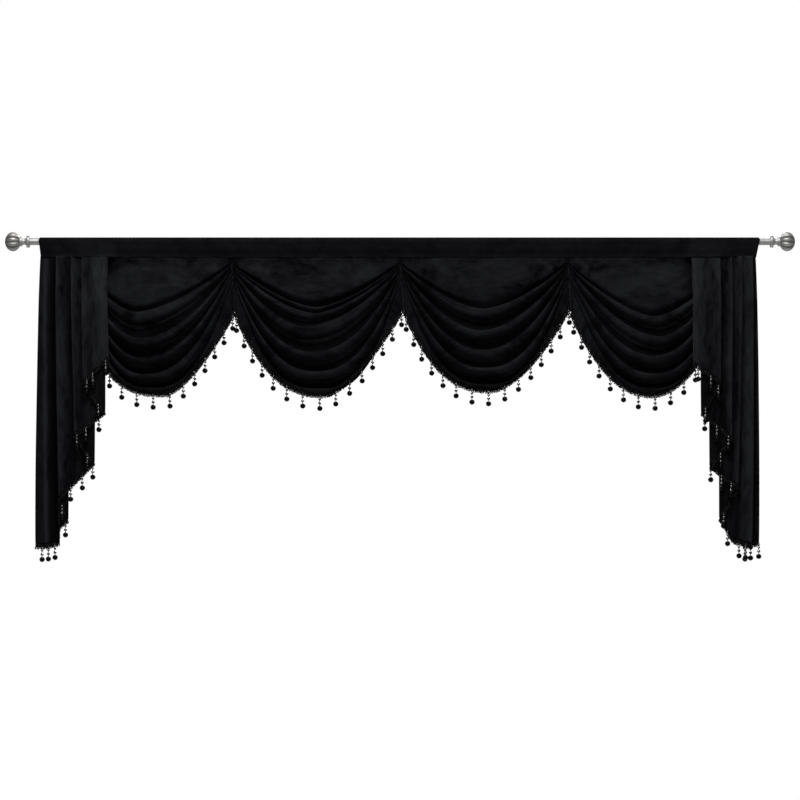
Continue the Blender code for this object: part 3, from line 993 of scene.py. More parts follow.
@dataclass(frozen=True)
class Line:
    """One line across a swag.

    side_share is where it leaves the seams, low_z its lowest height, out how far it stands out there, tuck
    how far it is drawn back from that, low_share the place of its lowest point, powers how sharply it bends
    there to the left and right, pleat how far it is pushed out beside the seams only, and pile the light and
    shade painted along it, from -1 dark to 1 light.
    """

    side_share: float
    low_z: float
    out: float
    tuck: float = 0.0
    low_share: float = 0.49
    powers: tuple[float, float] = (1.9, 1.9)
    pleat: float = 0.0
    # Painted light and shade along the line
    pile: float = 0.0


@dataclass(frozen=True)
class Fold:
    """A fold of a swag.

    low_z and low_share are its crest's lowest height and place, out how far out it is there, power how
    sharply it bends there, deep how far the cloth is drawn back below it and pocket how far behind it.
    """

    low_z: float
    low_share: float
    out: float
    power: float = 2.0
    deep: float = 0.0175
    pocket: float = 0.0080


@dataclass
class Swag:
    """A draped swag: a nearly flat top, then folds that are pockets open upward.

    hem_low_z, low_share and powers are the lowest height of its hem with its braid, the place of that
    and how sharply the hem bends there. first_drop and last_drop are the distances of the outer bead
    strings from its ends, side_shares are where the folds' crests leave the seams, and belly is how
    much lighter the middle of its flat top is.

    top_shape has the lines of the flat top, by the share of its height and how far out they are.
    fold_shape has the lines of a fold: how far on they are to the next crest, their bulge, their tuck and the
    light and shade painted on them, a painted highlight at the crest and painted shade in the valley.
    pocket_shape has those of the next crest's pocket: how far on they leave the seams, how deep in the pocket
    they are and their tuck, and pocket_painted_shade is the shade painted in that pocket. hem_lines are the
    steps from the last crest to the hem. left_flap and right_flap are how the seam allowances turn back from
    the cloth's ends.
    """

    number: int
    hem_low_z: float
    low_share: float
    powers: tuple[float, float]
    first_drop: float
    folds: tuple[Fold, ...]
    side_shares: tuple[float, ...] = (0.13, 0.18, 0.24, 0.31, 0.39, 0.46)
    thickness: float = 0.0012
    side_out: float = 0.0024
    hem_out: float = 0.036
    columns: int = 120
    last_drop: float = 0.008
    drops: int = 15
    belly: float = 0.35
    hem_lines: int = 10
    top_shape: tuple[tuple[float, float], ...] = (
        (0.0, 0.0), (0.12, 0.05), (0.25, 0.20), (0.40, 0.42), (0.55, 0.66), (0.68, 0.84)
    )
    # The fourth value of each fold line is painted light and shade: a painted highlight at the crest, painted
    # shade in the valley
    fold_shape: tuple[tuple[float, float, float, float], ...] = (
        (0.00, 0.0000, 0.00, 0.1),
        (0.06, 0.0028, 0.00, 0.2),
        (0.16, 0.0042, 0.00, 0.2),
        (0.30, 0.0036, 0.04, 0.2),
        (0.40, 0.0016, 0.20, 0.1),
        (0.49, 0.0000, 0.50, -0.4),
        (0.57, 0.0014, 0.60, 0.1),
        (0.66, 0.0010, 0.72, -0.1),
        (0.76, 0.0000, 0.93, -0.6),
        (0.92, 0.0000, 1.00, -0.8),
    )
    pocket_shape: tuple[Triple, ...] = ((0.88, 1.0, 0.86), (0.93, 0.85, 0.50), (0.97, 0.4, 0.20))
    # Painted shade in the pocket behind the next crest
    pocket_painted_shade: float = -0.6
    left_flap: tuple[Triple, ...] = ((-0.004, 0.0052, 0), (-0.0003, 0.0046, 0), (-0.0003, 0.0024, 0))
    right_flap: tuple[Triple, ...] = ((0.0002, 0.0012, 0), (0.0002, 0.0036, 0))

    @property
    def seams(self) -> tuple[Seam, Seam]:
        """The seams at its left and right."""
        return SEAMS[self.number - 1], SEAMS[self.number]

    def sag(self, across: np.ndarray, low_share: float, powers: tuple[float, float]) -> np.ndarray:
        """The share of its drop that a line has reached, 0 at both seams and 1 at its lowest.

        Args:
            across: Shares of the way from the left seam to the right one.
            low_share: The place of the lowest point.
            powers: How sharply it bends there, to the left and to the right.

        Returns:
            The share for each place.
        """
        left = across < low_share
        run = np.where(left, (low_share - across) / low_share, (across - low_share) / (1 - low_share))
        return 1 - np.clip(run, 0, 1) ** np.where(left, *powers)

    def seam_x(self, seam: Seam, z: np.ndarray | float, way: int) -> np.ndarray | float:
        """X of a gathered seam at a height, moved off it by half of the cloth and a gap."""
        down = np.clip((TOP_Z - z) / (TOP_Z - seam.left_z), 0, 1)
        return seam.top_x + down * (seam.notch_x - seam.top_x) + way * (SEWN_GAP + self.thickness / 2)

    def arch(self, across: np.ndarray) -> np.ndarray:
        """How far a line stands out, from 0 at the seams to 1 in the middle."""
        return np.sin(math.pi * across).clip(0) ** 0.8

    def hem(self, across: np.ndarray) -> np.ndarray:
        """Points of the cloth's lower edge.

        Args:
            across: Shares of the way from the left seam to the right one.

        Returns:
            The points.
        """
        left, right = self.seams
        side_z = np.where(across < self.low_share, left.right_z, right.left_z)
        z = side_z + (self.hem_low_z - side_z) * self.sag(across, self.low_share, self.powers)
        x_left = self.seam_x(left, left.right_z, 1)
        x_right = self.seam_x(right, right.left_z, -1)
        y = -(self.side_out + self.hem_out * self.arch(across))
        return np.stack([x_left + across * (x_right - x_left), y, z + BRAID_DROP], axis=1)

    def top_lines(self) -> list[Line]:
        """The lines of the flat top, which bellies out and then draws back above the first crest.

        Returns:
            The lines, from the heading down.
        """
        first, side = self.folds[0], self.side_shares[0]
        deep, low = TOP_Z - first.low_z, first.low_share
        top = []
        for share, out in self.top_shape:
            z, place = TOP_Z - share * deep, 0.5 + share * (low - 0.5)
            top.append(Line(share * side * 0.8, z, out * first.out, low_share=place))
        # How far before the first crest a line leaves the seams, its height above that crest, how far out it
        # is, its tuck and its painted shade, darkest in the recess just above that crest
        back = (
            (0.052, 0.024, 0.97, 0.0020, 0.0),
            (0.040, 0.014, 1.00, 0.0062, -0.3),
            (0.028, 0.006, 1.00, 0.0098, -0.6),
            (0.018, 0.000, 1.00, 0.0115, -0.8),
            (0.010, -first.pocket, 1.00, 0.0100, -0.9),
            (0.004, -0.5 * first.pocket, 1.00, 0.0050, -0.4),
        )
        bend = (low, (first.power, first.power), 0.0)
        return top + [
            Line(side - before, first.low_z + above, out * first.out, tuck, *bend, pile)
            for before, above, out, tuck, pile in back
        ]

    def fold_lines(self, fold: Fold, following: Fold, side: float, wide: float) -> list[Line]:
        """The lines of one fold: crest, rounded face, drawn-back valley, and the next one's pocket.

        Args:
            fold: The fold.
            following: The fold below it.
            side: Where its crest leaves the seams.
            wide: How far on the next crest leaves them.

        Returns:
            The lines, from its crest down to just before the next one's.
        """
        high = fold.low_z - following.low_z
        made = []
        for share, bulge, tuck, pile in self.fold_shape:
            out = fold.out + share * (following.out - fold.out) + bulge
            low = fold.low_share + share * (following.low_share - fold.low_share)
            power = fold.power + share * (following.power - fold.power)
            z = fold.low_z - share * high
            bend = (low, (power, power), 0.0)
            made.append(Line(side + 0.86 * share * wide, z, out, tuck * fold.deep, *bend, pile))
        bend = (following.low_share, (following.power, following.power), 0.0)
        for share, drop, tuck in self.pocket_shape:
            place = (side + share * wide, following.low_z - drop * following.pocket)
            made.append(Line(*place, following.out, tuck * fold.deep, *bend, self.pocket_painted_shade))
        return made

    def lines(self) -> list[Line]:
        """The lines that shape the cloth.

        Returns:
            The lines, from the heading down to the hem.
        """
        hem_z = self.hem_low_z + BRAID_DROP
        lines = self.top_lines()
        for k, (fold, following) in enumerate(zip(self.folds, self.folds[1:])):
            side = self.side_shares[k]
            lines += self.fold_lines(fold, following, side, self.side_shares[k + 1] - side)
        last, side = self.folds[-1], self.side_shares[len(self.folds) - 1]
        high, wide = last.low_z - hem_z, 1.0 - side
        for k in range(self.hem_lines + 1):
            share = k / self.hem_lines
            out = last.out + share * (self.hem_out - last.out) + 0.003 * math.sin(math.pi * share)
            low = last.low_share + share * (self.low_share - last.low_share)
            powers = tuple(last.power + share * (p - last.power) for p in self.powers)
            pleat = 0.0028 * (1 - share) * (1 if k % 2 else -1)
            lines.append(Line(side + share * wide, last.low_z - share * high, out, 0.0, low, powers, pleat))
        return lines

    def across_line(self, line: Line, columns: np.ndarray) -> np.ndarray:
        """Points of one line.

        Args:
            line: The line.
            columns: Shares of the way across.

        Returns:
            A point for each column.
        """
        left, right = self.seams
        low_share = line.low_share
        side_left, side_right = (
            TOP_Z + line.side_share * (end + BRAID_DROP - TOP_Z) for end in (left.right_z, right.left_z)
        )
        side_z = np.where(columns < low_share, side_left, side_right)
        z = side_z + (line.low_z - side_z) * self.sag(columns, low_share, line.powers)
        x_left = self.seam_x(left, side_left, 1)
        x_right = self.seam_x(right, side_right, -1)
        arch = self.arch(columns)
        beside = np.exp(-np.minimum(columns, 1 - columns) / 0.14) * np.minimum(arch * 8, 1)
        x = x_left + columns * (x_right - x_left)
        near = np.exp(-np.minimum(x - x_left, x_right - x) / 0.007)
        dip = 0.0065 * near * np.clip((TOP_Z - z) / 0.02, 0, 1)
        out = line.out * arch - line.tuck * (1 - (1 - arch) ** 2.6) + line.pleat * beside
        return np.stack([x, dip - self.side_out - out, z], axis=1)

    def wrinkles(self, points: np.ndarray, columns: np.ndarray) -> np.ndarray:
        """Small creases: they run along the folds, and are sharper near the seams.

        Args:
            points: The cloth's rows of points.
            columns: Shares of the way across.

        Returns:
            The same points, moved out or in by a little.
        """
        rows = len(points)
        moved = points.copy()
        near_seam = np.exp(-np.minimum(columns, 1 - columns) / 0.10)
        hold = np.minimum(np.minimum(columns, 1 - columns) / 0.02, 1.0)
        for i in range(rows):
            v = i / (rows - 1)
            free = min(v / 0.04, (1 - v) / 0.03, 1.0)
            for j, u in enumerate(columns):
                soft = fold_noise(u * 4.2, v * 9.0, 0.0, self.number)
                drawn = fold_noise(u * 2.6, v * 44.0, 3.0, self.number)
                fine = fold_noise(u * 5.0, v * 95.0, 6.0, self.number)
                size = 0.0024 * soft + 0.0017 * drawn + (0.0005 + 0.0011 * near_seam[j]) * fine
                moved[i, j, 1] -= size * free * hold[j]
        return moved

    def surface(self) -> np.ndarray:
        """The shape of the cloth's face.

        Returns:
            Its rows of points, from behind the heading down.
        """
        even = np.linspace(0, 1, self.columns)
        columns = even - 0.55 * np.sin(2 * math.pi * even) / (2 * math.pi)
        lines = np.asarray([self.across_line(line, columns) for line in self.lines()])
        rows = self.wrinkles(smooth_through(lines, FINE_STEPS), columns)
        tucked = rows[:1] + (0, 0.0006, TUCKED_UP)
        return self.with_flaps(np.concatenate([tucked, rows]))

    def pile(self, rows: np.ndarray) -> np.ndarray:
        """The pile attribute's painted light and shade: by line, lighter on the flat top's belly, with
        painted shadow beside the tails on the top and painted highlights on the folds below it, painted
        stripes on the pleats by the notches, and painted shade along the seams.

        Args:
            rows: The finished rows of points, which start with the tucked one.

        Returns:
            A value from -1 to 1 for each point.
        """
        by_line, pleats = (
            smooth_through(np.asarray([[value] for value in values]), FINE_STEPS)
            for values in ([line.pile for line in self.lines()], [line.pleat for line in self.lines()])
        )
        by_line, pleats = (np.concatenate([values[:1], values]) for values in (by_line, pleats))
        x, z = rows[..., 0], rows[..., 2]
        in_from_seam = np.minimum(x - x[:, 3:4], x[:, -3:-2] - x).clip(0)
        # Painted light and shade in stripes on the pleats by the notches: lighter where a pleat stands out,
        # darker where it is drawn in
        painted_pleat_shading = 330 * pleats * np.exp(-in_from_seam / 0.030)
        # Painted shade along the seams and on the seam allowances
        seam_shade = 1.2 * np.exp(-in_from_seam / 0.004) + 0.35 * np.exp(-in_from_seam / 0.025)
        middle = (rows[0, 0, 0] + rows[0, -1, 0]) / 2
        down = (TOP_Z - z) / (TOP_Z - self.folds[0].low_z)
        belly = self.belly * np.exp(-(((x - middle) / 0.16) ** 2))
        belly = belly * np.sin(math.pi * np.clip(down, 0, 1)).clip(0)
        # Painted shadow on the flat top beside the tails' inner edges, and painted highlights on the folds
        # below it there
        beside = np.exp(-(((np.abs(x) - TAIL_INNER_X) / 0.030) ** 2))
        upper = np.clip(1.5 - 2 * down, 0, 1)
        lit = np.clip(by_line + 0.3, 0, 0.5) * 2.2 * beside * (1 - upper)
        return np.clip(by_line + belly - 0.9 * beside * upper + lit + painted_pleat_shading - seam_shade, -1, 1)

    def with_flaps(self, rows: np.ndarray) -> np.ndarray:
        """Adds the seam allowances, which turn back where the swag is sewn to its neighbours.

        Args:
            rows: The cloth's rows of points.

        Returns:
            The rows with points added at both ends. The left flap laps behind the neighbour's.
        """
        left = [rows[:, :1] + step for step in self.left_flap]
        right = [rows[:, -1:] + step for step in self.right_flap]
        return np.concatenate([*left, rows, *right], axis=1)

    def build(self, finishes: Finishes) -> bpy.types.Object:
        """Makes the swag in place of its solid.

        Args:
            finishes: The materials.

        Returns:
            The swag.
        """
        rows = self.surface()
        materials = (finishes.velvet, finishes.knit)
        piece = cloth_piece(f"swag_{self.number}_velvet", rows, self.pile(rows), materials, self.thickness)
        dress(piece, "velvet", f"swag_{self.number}")
        return piece

    def drop_places(self) -> tuple[np.ndarray, np.ndarray]:
        """Where the trim goes.

        Returns:
            The hem as a fine line, and the distance along it of each bead string.
        """
        line = self.hem(np.linspace(0.001, 0.999, 900))
        flat = run_lengths(line * (1, 0, 1))
        places = np.linspace(self.first_drop, flat[-1] - self.last_drop, self.drops)
        return line, np.interp(places, flat, run_lengths(line))


@dataclass(frozen=True)
class Crease:
    """An upright line of a tail, from its place in the heading seam to its place in the hem.

    back is how many levels the cloth goes behind there, beside a turn's own, out is how far a ridge
    stands out at the hem, and drops are the X of the bead strings on the panel that follows.
    """

    bend: Bend
    top_x: float
    hem_x: float
    hem_z: float
    back: float = 0.0
    out: float = 0.0
    drops: tuple[float, ...] = ()


@dataclass(frozen=True)
class Column:
    """One upright line of points of a tail's grid, with the number of the panel that it is on."""

    top_x: float
    hem_x: float
    hem_z: float
    level: float
    rounding: float
    out: float
    panel: int


def upright_x(line: Crease | Column, z: float) -> float:
    """X of an upright line at a height.

    Args:
        line: A crease, or a line of a tail's grid.
        z: The height.

    Returns:
        The X.
    """
    down = (TOP_Z - z) / (TOP_Z - line.hem_z)
    return line.top_x + down * (line.hem_x - line.top_x)


@dataclass
class Tail:
    """A cascade tail: one cloth pleated back and forth, its short edge in front and inside.

    rear_out is how far its rearmost level stands out, and lean how much further the swag behind pushes
    it, from lean_from to lean_full of the middle and by the heights lean_down. pitches are the distances
    of its levels by height, bow is how far its outer edge bows out, and rolls are those of a panel's
    cloth across what shows of it.

    front_strokes are the pile's strokes over the front panel, panel_painted_shading those over what shows of
    front_strokes lighten and darken the front panel across its width. panel_painted_shading is the painted
    shadow beside the panel in front and the painted highlight at the folded edge over what shows of the
    others, hidden_painted_shade the painted shade where a panel is covered or runs back inward,
    ridge_painted_shading the painted highlight on the crease that is a lit ridge and the painted shade beside
    it, and ridge is its number.
    """

    side: Side
    creases: tuple[Crease, ...]
    thickness: float = 0.0009
    rear_out: float = 0.0045
    lean: float = 0.026
    lean_from: float = 0.950
    lean_full: float = 0.795
    lean_down: tuple[float, ...] = (0.0445, 0.080, 0.100, 0.120, 0.165, 0.22)
    lean_shares: tuple[float, ...] = (0, 0.20, 0.40, 0.60, 0.98, 1.0)
    pitch_down: Triple = (0.0445, 0.165, 0.850)
    pitches: Triple = (0.0018, 0.0040, 0.0060)
    panel_steps: int = 9
    turn_steps: int = 6
    rows: int = 84
    bow: float = 0.0040
    roll_shares: tuple[float, ...] = (0.0, 0.25, 0.80, 1.0)
    rolls: tuple[float, ...] = (0.0, -0.0012, 0.0034, 0.0016)
    front_strokes: tuple[float, ...] = (1.0, 0.5, -0.3, -0.1, 0.7)
    panel_shares: tuple[float, ...] = (0.0, 0.3, 0.6, 0.85, 1.0)
    # Painted shadow beside the panel in front, rising to a painted highlight at the folded edge; painted
    # shade where a panel runs back inward
    panel_painted_shading: tuple[float, ...] = (-1.0, -0.6, -0.2, 0.5, 1.0)
    hidden_painted_shade: float = -0.35
    # Painted highlight on the lit ridge, with painted shade beside it
    ridge_places: tuple[float, ...] = (-0.030, -0.017, -0.011, -0.006, -0.003, 0.0, 0.002, 0.006, 0.015)
    ridge_painted_shading: tuple[float, ...] = (-1, -0.95, -0.75, -0.35, 0.4, 1.0, 0.6, -0.45, -0.55)
    ridge: int | None = None

    def pitch(self, z: float) -> float:
        """The distance from a level of the cloth to the next one behind it."""
        return float(np.interp(-z, self.pitch_down, self.pitches))

    def lean_at(self, x: float, z: float) -> float:
        """How far the swag behind pushes the tail out.

        Args:
            x: How far to the side the place is.
            z: Its height.

        Returns:
            The distance.
        """
        inward = clamped((self.lean_from - abs(x)) / (self.lean_from - self.lean_full))
        ramp = np.interp(-z, self.lean_down, self.lean_shares)
        return self.lean * inward**0.9 * float(ramp)

    def columns(self) -> list[Column]:
        """The grid's upright lines.

        Returns:
            The lines, from the inner edge to the outer one.
        """
        made: list[Column] = []
        level = 0.0
        for k, crease in enumerate(self.creases):
            start = level
            level += crease.back
            place = np.array([crease.top_x, crease.hem_x, crease.hem_z + BRAID_DROP])
            if k:
                last = self.creases[k - 1]
                before = np.array([last.top_x, last.hem_x, last.hem_z + BRAID_DROP])
                for step in range(1, self.panel_steps):
                    t = step / self.panel_steps
                    ease = t * t * (3 - 2 * t)
                    spot = before + t * (place - before)
                    out = last.out + ease * (crease.out - last.out)
                    made.append(Column(*spot, start + ease * crease.back, 0.0, out, k - 1))
            if crease.bend is not Bend.TURN:
                made.append(Column(*place, level, 0.0, crease.out, max(k - 1, 0)))
                continue
            way = math.copysign(0.5, crease.top_x - self.creases[k - 1].top_x)
            for step in range(self.turn_steps + 1):
                angle = math.pi * step / self.turn_steps
                turned = (1 - math.cos(angle)) / 2
                panel = k - 1 if step < self.turn_steps / 2 else k
                made.append(Column(*place, level + turned, way * math.sin(angle), 0.0, panel))
            level += 1.0
        return made

    def shown(self, column: Column, z: float) -> float:
        """How far across the strip of its panel that shows a point is.

        Args:
            column: The point's upright line.
            z: Its height.

        Returns:
            0 at the edge of the panel in front, 1 at the panel's own folded edge, and less than 0 where
            the panel in front covers it or where its cloth runs back inward.
        """
        k = column.panel
        if k < 2 or abs(self.creases[k + 1].top_x) < abs(self.creases[k].top_x):
            return -1.0
        front, own = upright_x(self.creases[k - 1], z), upright_x(self.creases[k + 1], z)
        return (upright_x(column, z) - front) / (own - front) if abs(own) > abs(front) + 1e-4 else -1.0

    def over_grid(self, value: Callable[[Column, float], float | Triple]) -> np.ndarray:
        """Works a value out at every point of the cloth.

        Args:
            value: What gives it for an upright line and a height.

        Returns:
            The values in rows from the heading down.
        """
        columns = self.columns()
        shares = np.linspace(0, 1, self.rows) ** 1.15
        return np.asarray([[value(c, TOP_Z + s * (c.hem_z - TOP_Z)) for c in columns] for s in shares])

    def pile(self) -> np.ndarray:
        """The pile attribute, which holds painted light and shade, in rows like the surface's."""
        rows = self.over_grid(self.pile_and_painted_shade)
        return np.concatenate([rows[:1], rows])

    def pile_and_painted_shade(self, column: Column, z: float) -> float:
        """Painted light and shade for the pile attribute: a painted highlight at folded edges and a painted
        shadow beside the panel in front, painted shade on the outermost panel and where cloth runs back
        inward, and the front panel lightened and darkened across its width.

        Args:
            column: The point's upright line.
            z: Its height.

        Returns:
            The value, from -1 dark to 1 light.
        """
        if self.ridge is not None and column.panel >= self.ridge - 2:
            off = abs(upright_x(column, z)) - abs(upright_x(self.creases[self.ridge], z))
            return float(np.interp(off, self.ridge_places, self.ridge_painted_shading))
        share = self.shown(column, z)
        if share >= 0:
            # Painted shade on the outermost panel
            last = 0.5 if column.panel == len(self.creases) - 2 else 0.0
            return float(np.interp(share, self.panel_shares, self.panel_painted_shading)) - last
        if column.panel < 2:
            inner = (abs(column.top_x) - TAIL_INNER_X) / 0.073
            return float(np.interp(inner, np.linspace(0, 1, len(self.front_strokes)), self.front_strokes))
        return self.hidden_painted_shade

    def point(self, column: Column, z: float, levels: float) -> Triple:
        """Where an upright line is at a height.

        Args:
            column: The upright line.
            z: The height.
            levels: How many levels the tail has in all.

        Returns:
            The point.
        """
        down = (TOP_Z - z) / (TOP_Z - column.hem_z)
        pitch = self.pitch(z)
        x = upright_x(column, z)
        outer = clamped((abs(column.top_x) - 0.93) / 0.05)
        x += self.side.value * self.bow * outer * math.sin(math.pi * clamped(down)) ** 0.6
        out = self.rear_out + self.lean_at(x, z) + (levels - column.level) * pitch + down * column.out
        fall = clamped((TOP_Z - z) / 0.12)
        sweep = 0.0034 * math.sin(x * 118 + 0.9 * math.sin(z * 7)) + 0.0022 * math.sin(x * 251 + z * 5)
        uneven = 0.0030 * fold_noise(x * 26, 0.0, z * 3.0, 11)
        share = self.shown(column, z)
        roll = float(np.interp(share, self.roll_shares, self.rolls)) if share > 0 else 0.0
        return (x + column.rounding * pitch, -(out + fall * (sweep + uneven + roll)), z)

    def surface(self) -> np.ndarray:
        """The shape of the cloth's face.

        Returns:
            Its rows of points from behind the heading down, each from the inner edge to the outer one.
        """
        levels = self.columns()[-1].level
        rows = self.over_grid(lambda column, z: self.point(column, z, levels))
        return np.concatenate([rows[:1] + (0, 0, TUCKED_UP), rows])

    def build(self, finishes: Finishes) -> bpy.types.Object:
        """Makes the tail in place of its solid.

        Args:
            finishes: The materials.

        Returns:
            The tail.
        """
        rows, pile = self.surface(), self.pile()
        if self.side is Side.LEFT:
            rows, pile = rows[:, ::-1], pile[:, ::-1]
        name = f"tail_{self.side.name.lower()}"
        materials = (finishes.tail_velvet, finishes.knit)
        piece = cloth_piece(f"{name}_velvet", rows, pile, materials, self.thickness)
        dress(piece, "velvet", name)
        return piece

    def drop_places(self) -> tuple[np.ndarray, np.ndarray]:
        """Where the trim goes.

        Returns:
            The hem as a line from the inner edge, and the distance along it of each bead string.
        """
        hem = self.surface()[-1]
        runs = run_lengths(hem)
        marks = [0]
        for k, crease in enumerate(self.creases[1:]):
            turn = self.turn_steps if crease.bend is Bend.TURN else 0
            marks.append(marks[-1] + self.panel_steps + (turn if k + 2 < len(self.creases) else 0))
        places = []
        for k, crease in enumerate(self.creases[:-1]):
            end = marks[k] + self.panel_steps
            panel = slice(marks[k], end + 1)
            order = np.argsort(hem[panel, 0])
            places += [float(np.interp(x, hem[panel, 0][order], runs[panel][order])) for x in crease.drops]
        return hem, np.sort(np.asarray(places))


# Braid and beads


def ring(bm: bmesh.types.BMesh) -> None:
    """Adds an upright ring that faces the front, about 1 in radius.

    Args:
        bm: The mesh to add it to.
    """
    turned = Matrix.Translation((0.7, 0, 0)) @ Matrix.Rotation(math.pi / 2, 4, "X")
    bmesh.ops.create_circle(bm, segments=4, radius=0.42, matrix=turned)
    spin_round(bm, bm.verts[:] + bm.edges[:], (0, 0, 1), 8)
    upright = Matrix.Rotation(math.pi / 2, 3, "X")
    bmesh.ops.rotate(bm, verts=bm.verts, cent=(0, 0, 0), matrix=upright)


@dataclass
class Trim:
    """A looped braid along a hem, with strings of beads that each end in a ball.

    cord_drops are how far below the hem the cords lie. loop_rows have each row's pitch, its drop and
    its least and greatest loop radius. bead_places have each small bead's distance below the top of its
    string and its radius. aslant is how far the braid leans off a steep hem, lean how far the strings
    stand out, and step the length of a cord's piece.
    """

    name: str
    line: np.ndarray
    drops: np.ndarray
    seed: int
    cord_drops: tuple[float, ...] = (-0.0010, 0.0013, 0.0036, 0.0059)
    loop_rows: tuple[tuple[float, float, float, float], ...] = (
        (0.0036, 0.0076, 0.0020, 0.0028),
        (0.0048, 0.0098, 0.0023, 0.0033),
    )
    bead_places: tuple[tuple[float, float], ...] = ((-0.0015, 0.0029), (0.0066, 0.0038), (0.0168, 0.0046))
    ball_below: float = 0.0310
    ball_radius: float = 0.0075
    thread_radius: float = 0.0012
    aslant: float = 0.28
    lean: float = 0.0040
    step: float = 0.004

    def below(self, line: np.ndarray) -> np.ndarray:
        """The way in which the braid hangs from each point of a line: down, and off a steep hem.

        Args:
            line: Points along the hem.

        Returns:
            A direction for each of them.
        """
        tangent = unit(np.gradient(line, axis=0))
        sideways = self.aslant * tangent[:, 2] * tangent[:, 0] / (np.abs(tangent[:, 0]) + 0.12)
        return np.stack([sideways, np.zeros(len(line)), np.full(len(line), -1.0)], axis=1)

    def cords(self, bm: bmesh.types.BMesh) -> None:
        """Adds the braid's tape and its cords, sewn side by side along the hem.

        Args:
            bm: The mesh to add them to.
        """
        length = run_lengths(self.line)[-1]
        fine = along(self.line, np.linspace(0, length, int(length / self.step)))
        below = self.below(fine)
        tube(bm, fine + below * 0.0030 - (0, 0.0004, 0), (0.0004, 0.0040), 4)
        ripple = (np.sin(np.arange(len(fine)) * 2.1) * 0.0004)[:, None]
        for drop in self.cord_drops:
            line = fine + below * (drop + ripple) - (0, 0.0012, 0)
            tube(bm, line, (0.0010, 0.0013), 5, 900.0)

    def loops(self, bm: bmesh.types.BMesh) -> None:
        """Adds the loops that hang from the braid, turned and sized unevenly.

        Args:
            bm: The mesh to add them to.
        """
        stamp = Stamp(ring)
        chance = np.random.default_rng(self.seed)
        length = run_lengths(self.line)[-1]
        steps = np.linspace(0, length, int(length / self.step))
        below = self.below(along(self.line, steps))
        for pitch, drop, small, large in self.loop_rows:
            for place in np.arange(pitch / 2, length, pitch):
                at = along(self.line, float(place) + chance.normal(0, pitch * 0.12))
                at[0] += drop * float(np.interp(place, steps, below[:, 0]))
                radius = chance.uniform(small, large)
                swing, lean = chance.normal(0, 0.5), chance.normal(0, 0.35)
                turn = Matrix.Rotation(swing, 4, "Z") @ Matrix.Rotation(lean, 4, "X")
                out, lower = chance.uniform(0.0006, 0.0016), chance.uniform(-0.0008, 0.0010)
                low = at - np.array([0, out, drop + lower])
                stamp.put(bm, placed(low, (radius * chance.uniform(0.7, 0.95), radius, radius), turn))

    def braid(self, finishes: Finishes) -> bpy.types.Object:
        """Makes the braid.

        Args:
            finishes: The materials.

        Returns:
            The braid.
        """
        bm = bmesh.new()
        self.cords(bm)
        self.loops(bm)
        bmesh.ops.recalc_face_normals(bm, faces=bm.faces)
        return dress(finished(f"{self.name}_braid", bm, [finishes.braid]), "bead_trim", self.name)

    def strings(self, finishes: Finishes) -> bpy.types.Object:
        """Makes the bead strings.

        Args:
            finishes: The materials.

        Returns:
            The bead strings.
        """
        sphere, cone = bmesh.ops.create_uvsphere, bmesh.ops.create_cone
        rod = {"cap_ends": True, "segments": 6, "radius1": 1.0, "radius2": 1.0, "depth": 1.0}
        bead = Stamp(lambda part: sphere(part, u_segments=10, v_segments=7, radius=1.0), 1)
        ball = Stamp(lambda part: sphere(part, u_segments=14, v_segments=9, radius=1.0))
        thread = Stamp(lambda part: cone(part, **rod), 1)
        bm = bmesh.new()
        chance = np.random.default_rng(self.seed + 50)
        for place in self.drops:
            at = along(self.line, float(place)) - np.array([0, self.lean * 0.6, BRAID_DROP])
            sway = chance.normal(0, 0.0005, 2)
            centre = at + np.array([sway[0], sway[1], -self.ball_below])
            size = (self.thread_radius, self.thread_radius, self.ball_below + BRAID_DROP * 0.8)
            middle = (at + np.array([0, 0, BRAID_DROP * 0.8]) + centre) / 2
            thread.put(bm, placed(middle, size))
            for below, radius in self.bead_places:
                share = below / self.ball_below
                spot = at + share * (centre - at)
                bead.put(bm, placed(spot, (radius, radius, radius * 0.9)))
            ball.put(bm, placed(centre, (self.ball_radius,) * 2 + (self.ball_radius * 0.98,)))
        bmesh.ops.recalc_face_normals(bm, faces=bm.faces)
        return dress(finished(f"{self.name}_beads", bm, [finishes.ball, finishes.bead]), "bead_trim")

    def build(self, finishes: Finishes) -> None:
        """Makes the braid and its bead strings in place of their solid.

        Args:
            finishes: The materials.
        """
        self.braid(finishes)
        self.strings(finishes)


# The studio


@dataclass(frozen=True)
class Lamp:
    """A soft area light that looks at a point."""

    name: str
    at: Triple
    look_at: Triple
    size: tuple[float, float]
    power: float

    def build(self) -> None:
        """Makes the light."""
        data = bpy.data.lights.new(self.name, "AREA")
        data.shape = "RECTANGLE"
        data.size, data.size_y = self.size
        data.energy = self.power
        lamp = bpy.data.objects.new(self.name, data)
        lamp.location = self.at
        way = Vector(self.look_at) - Vector(self.at)
        lamp.rotation_euler = way.to_track_quat("-Z", "Y").to_euler()
        bpy.context.scene.collection.objects.link(lamp)


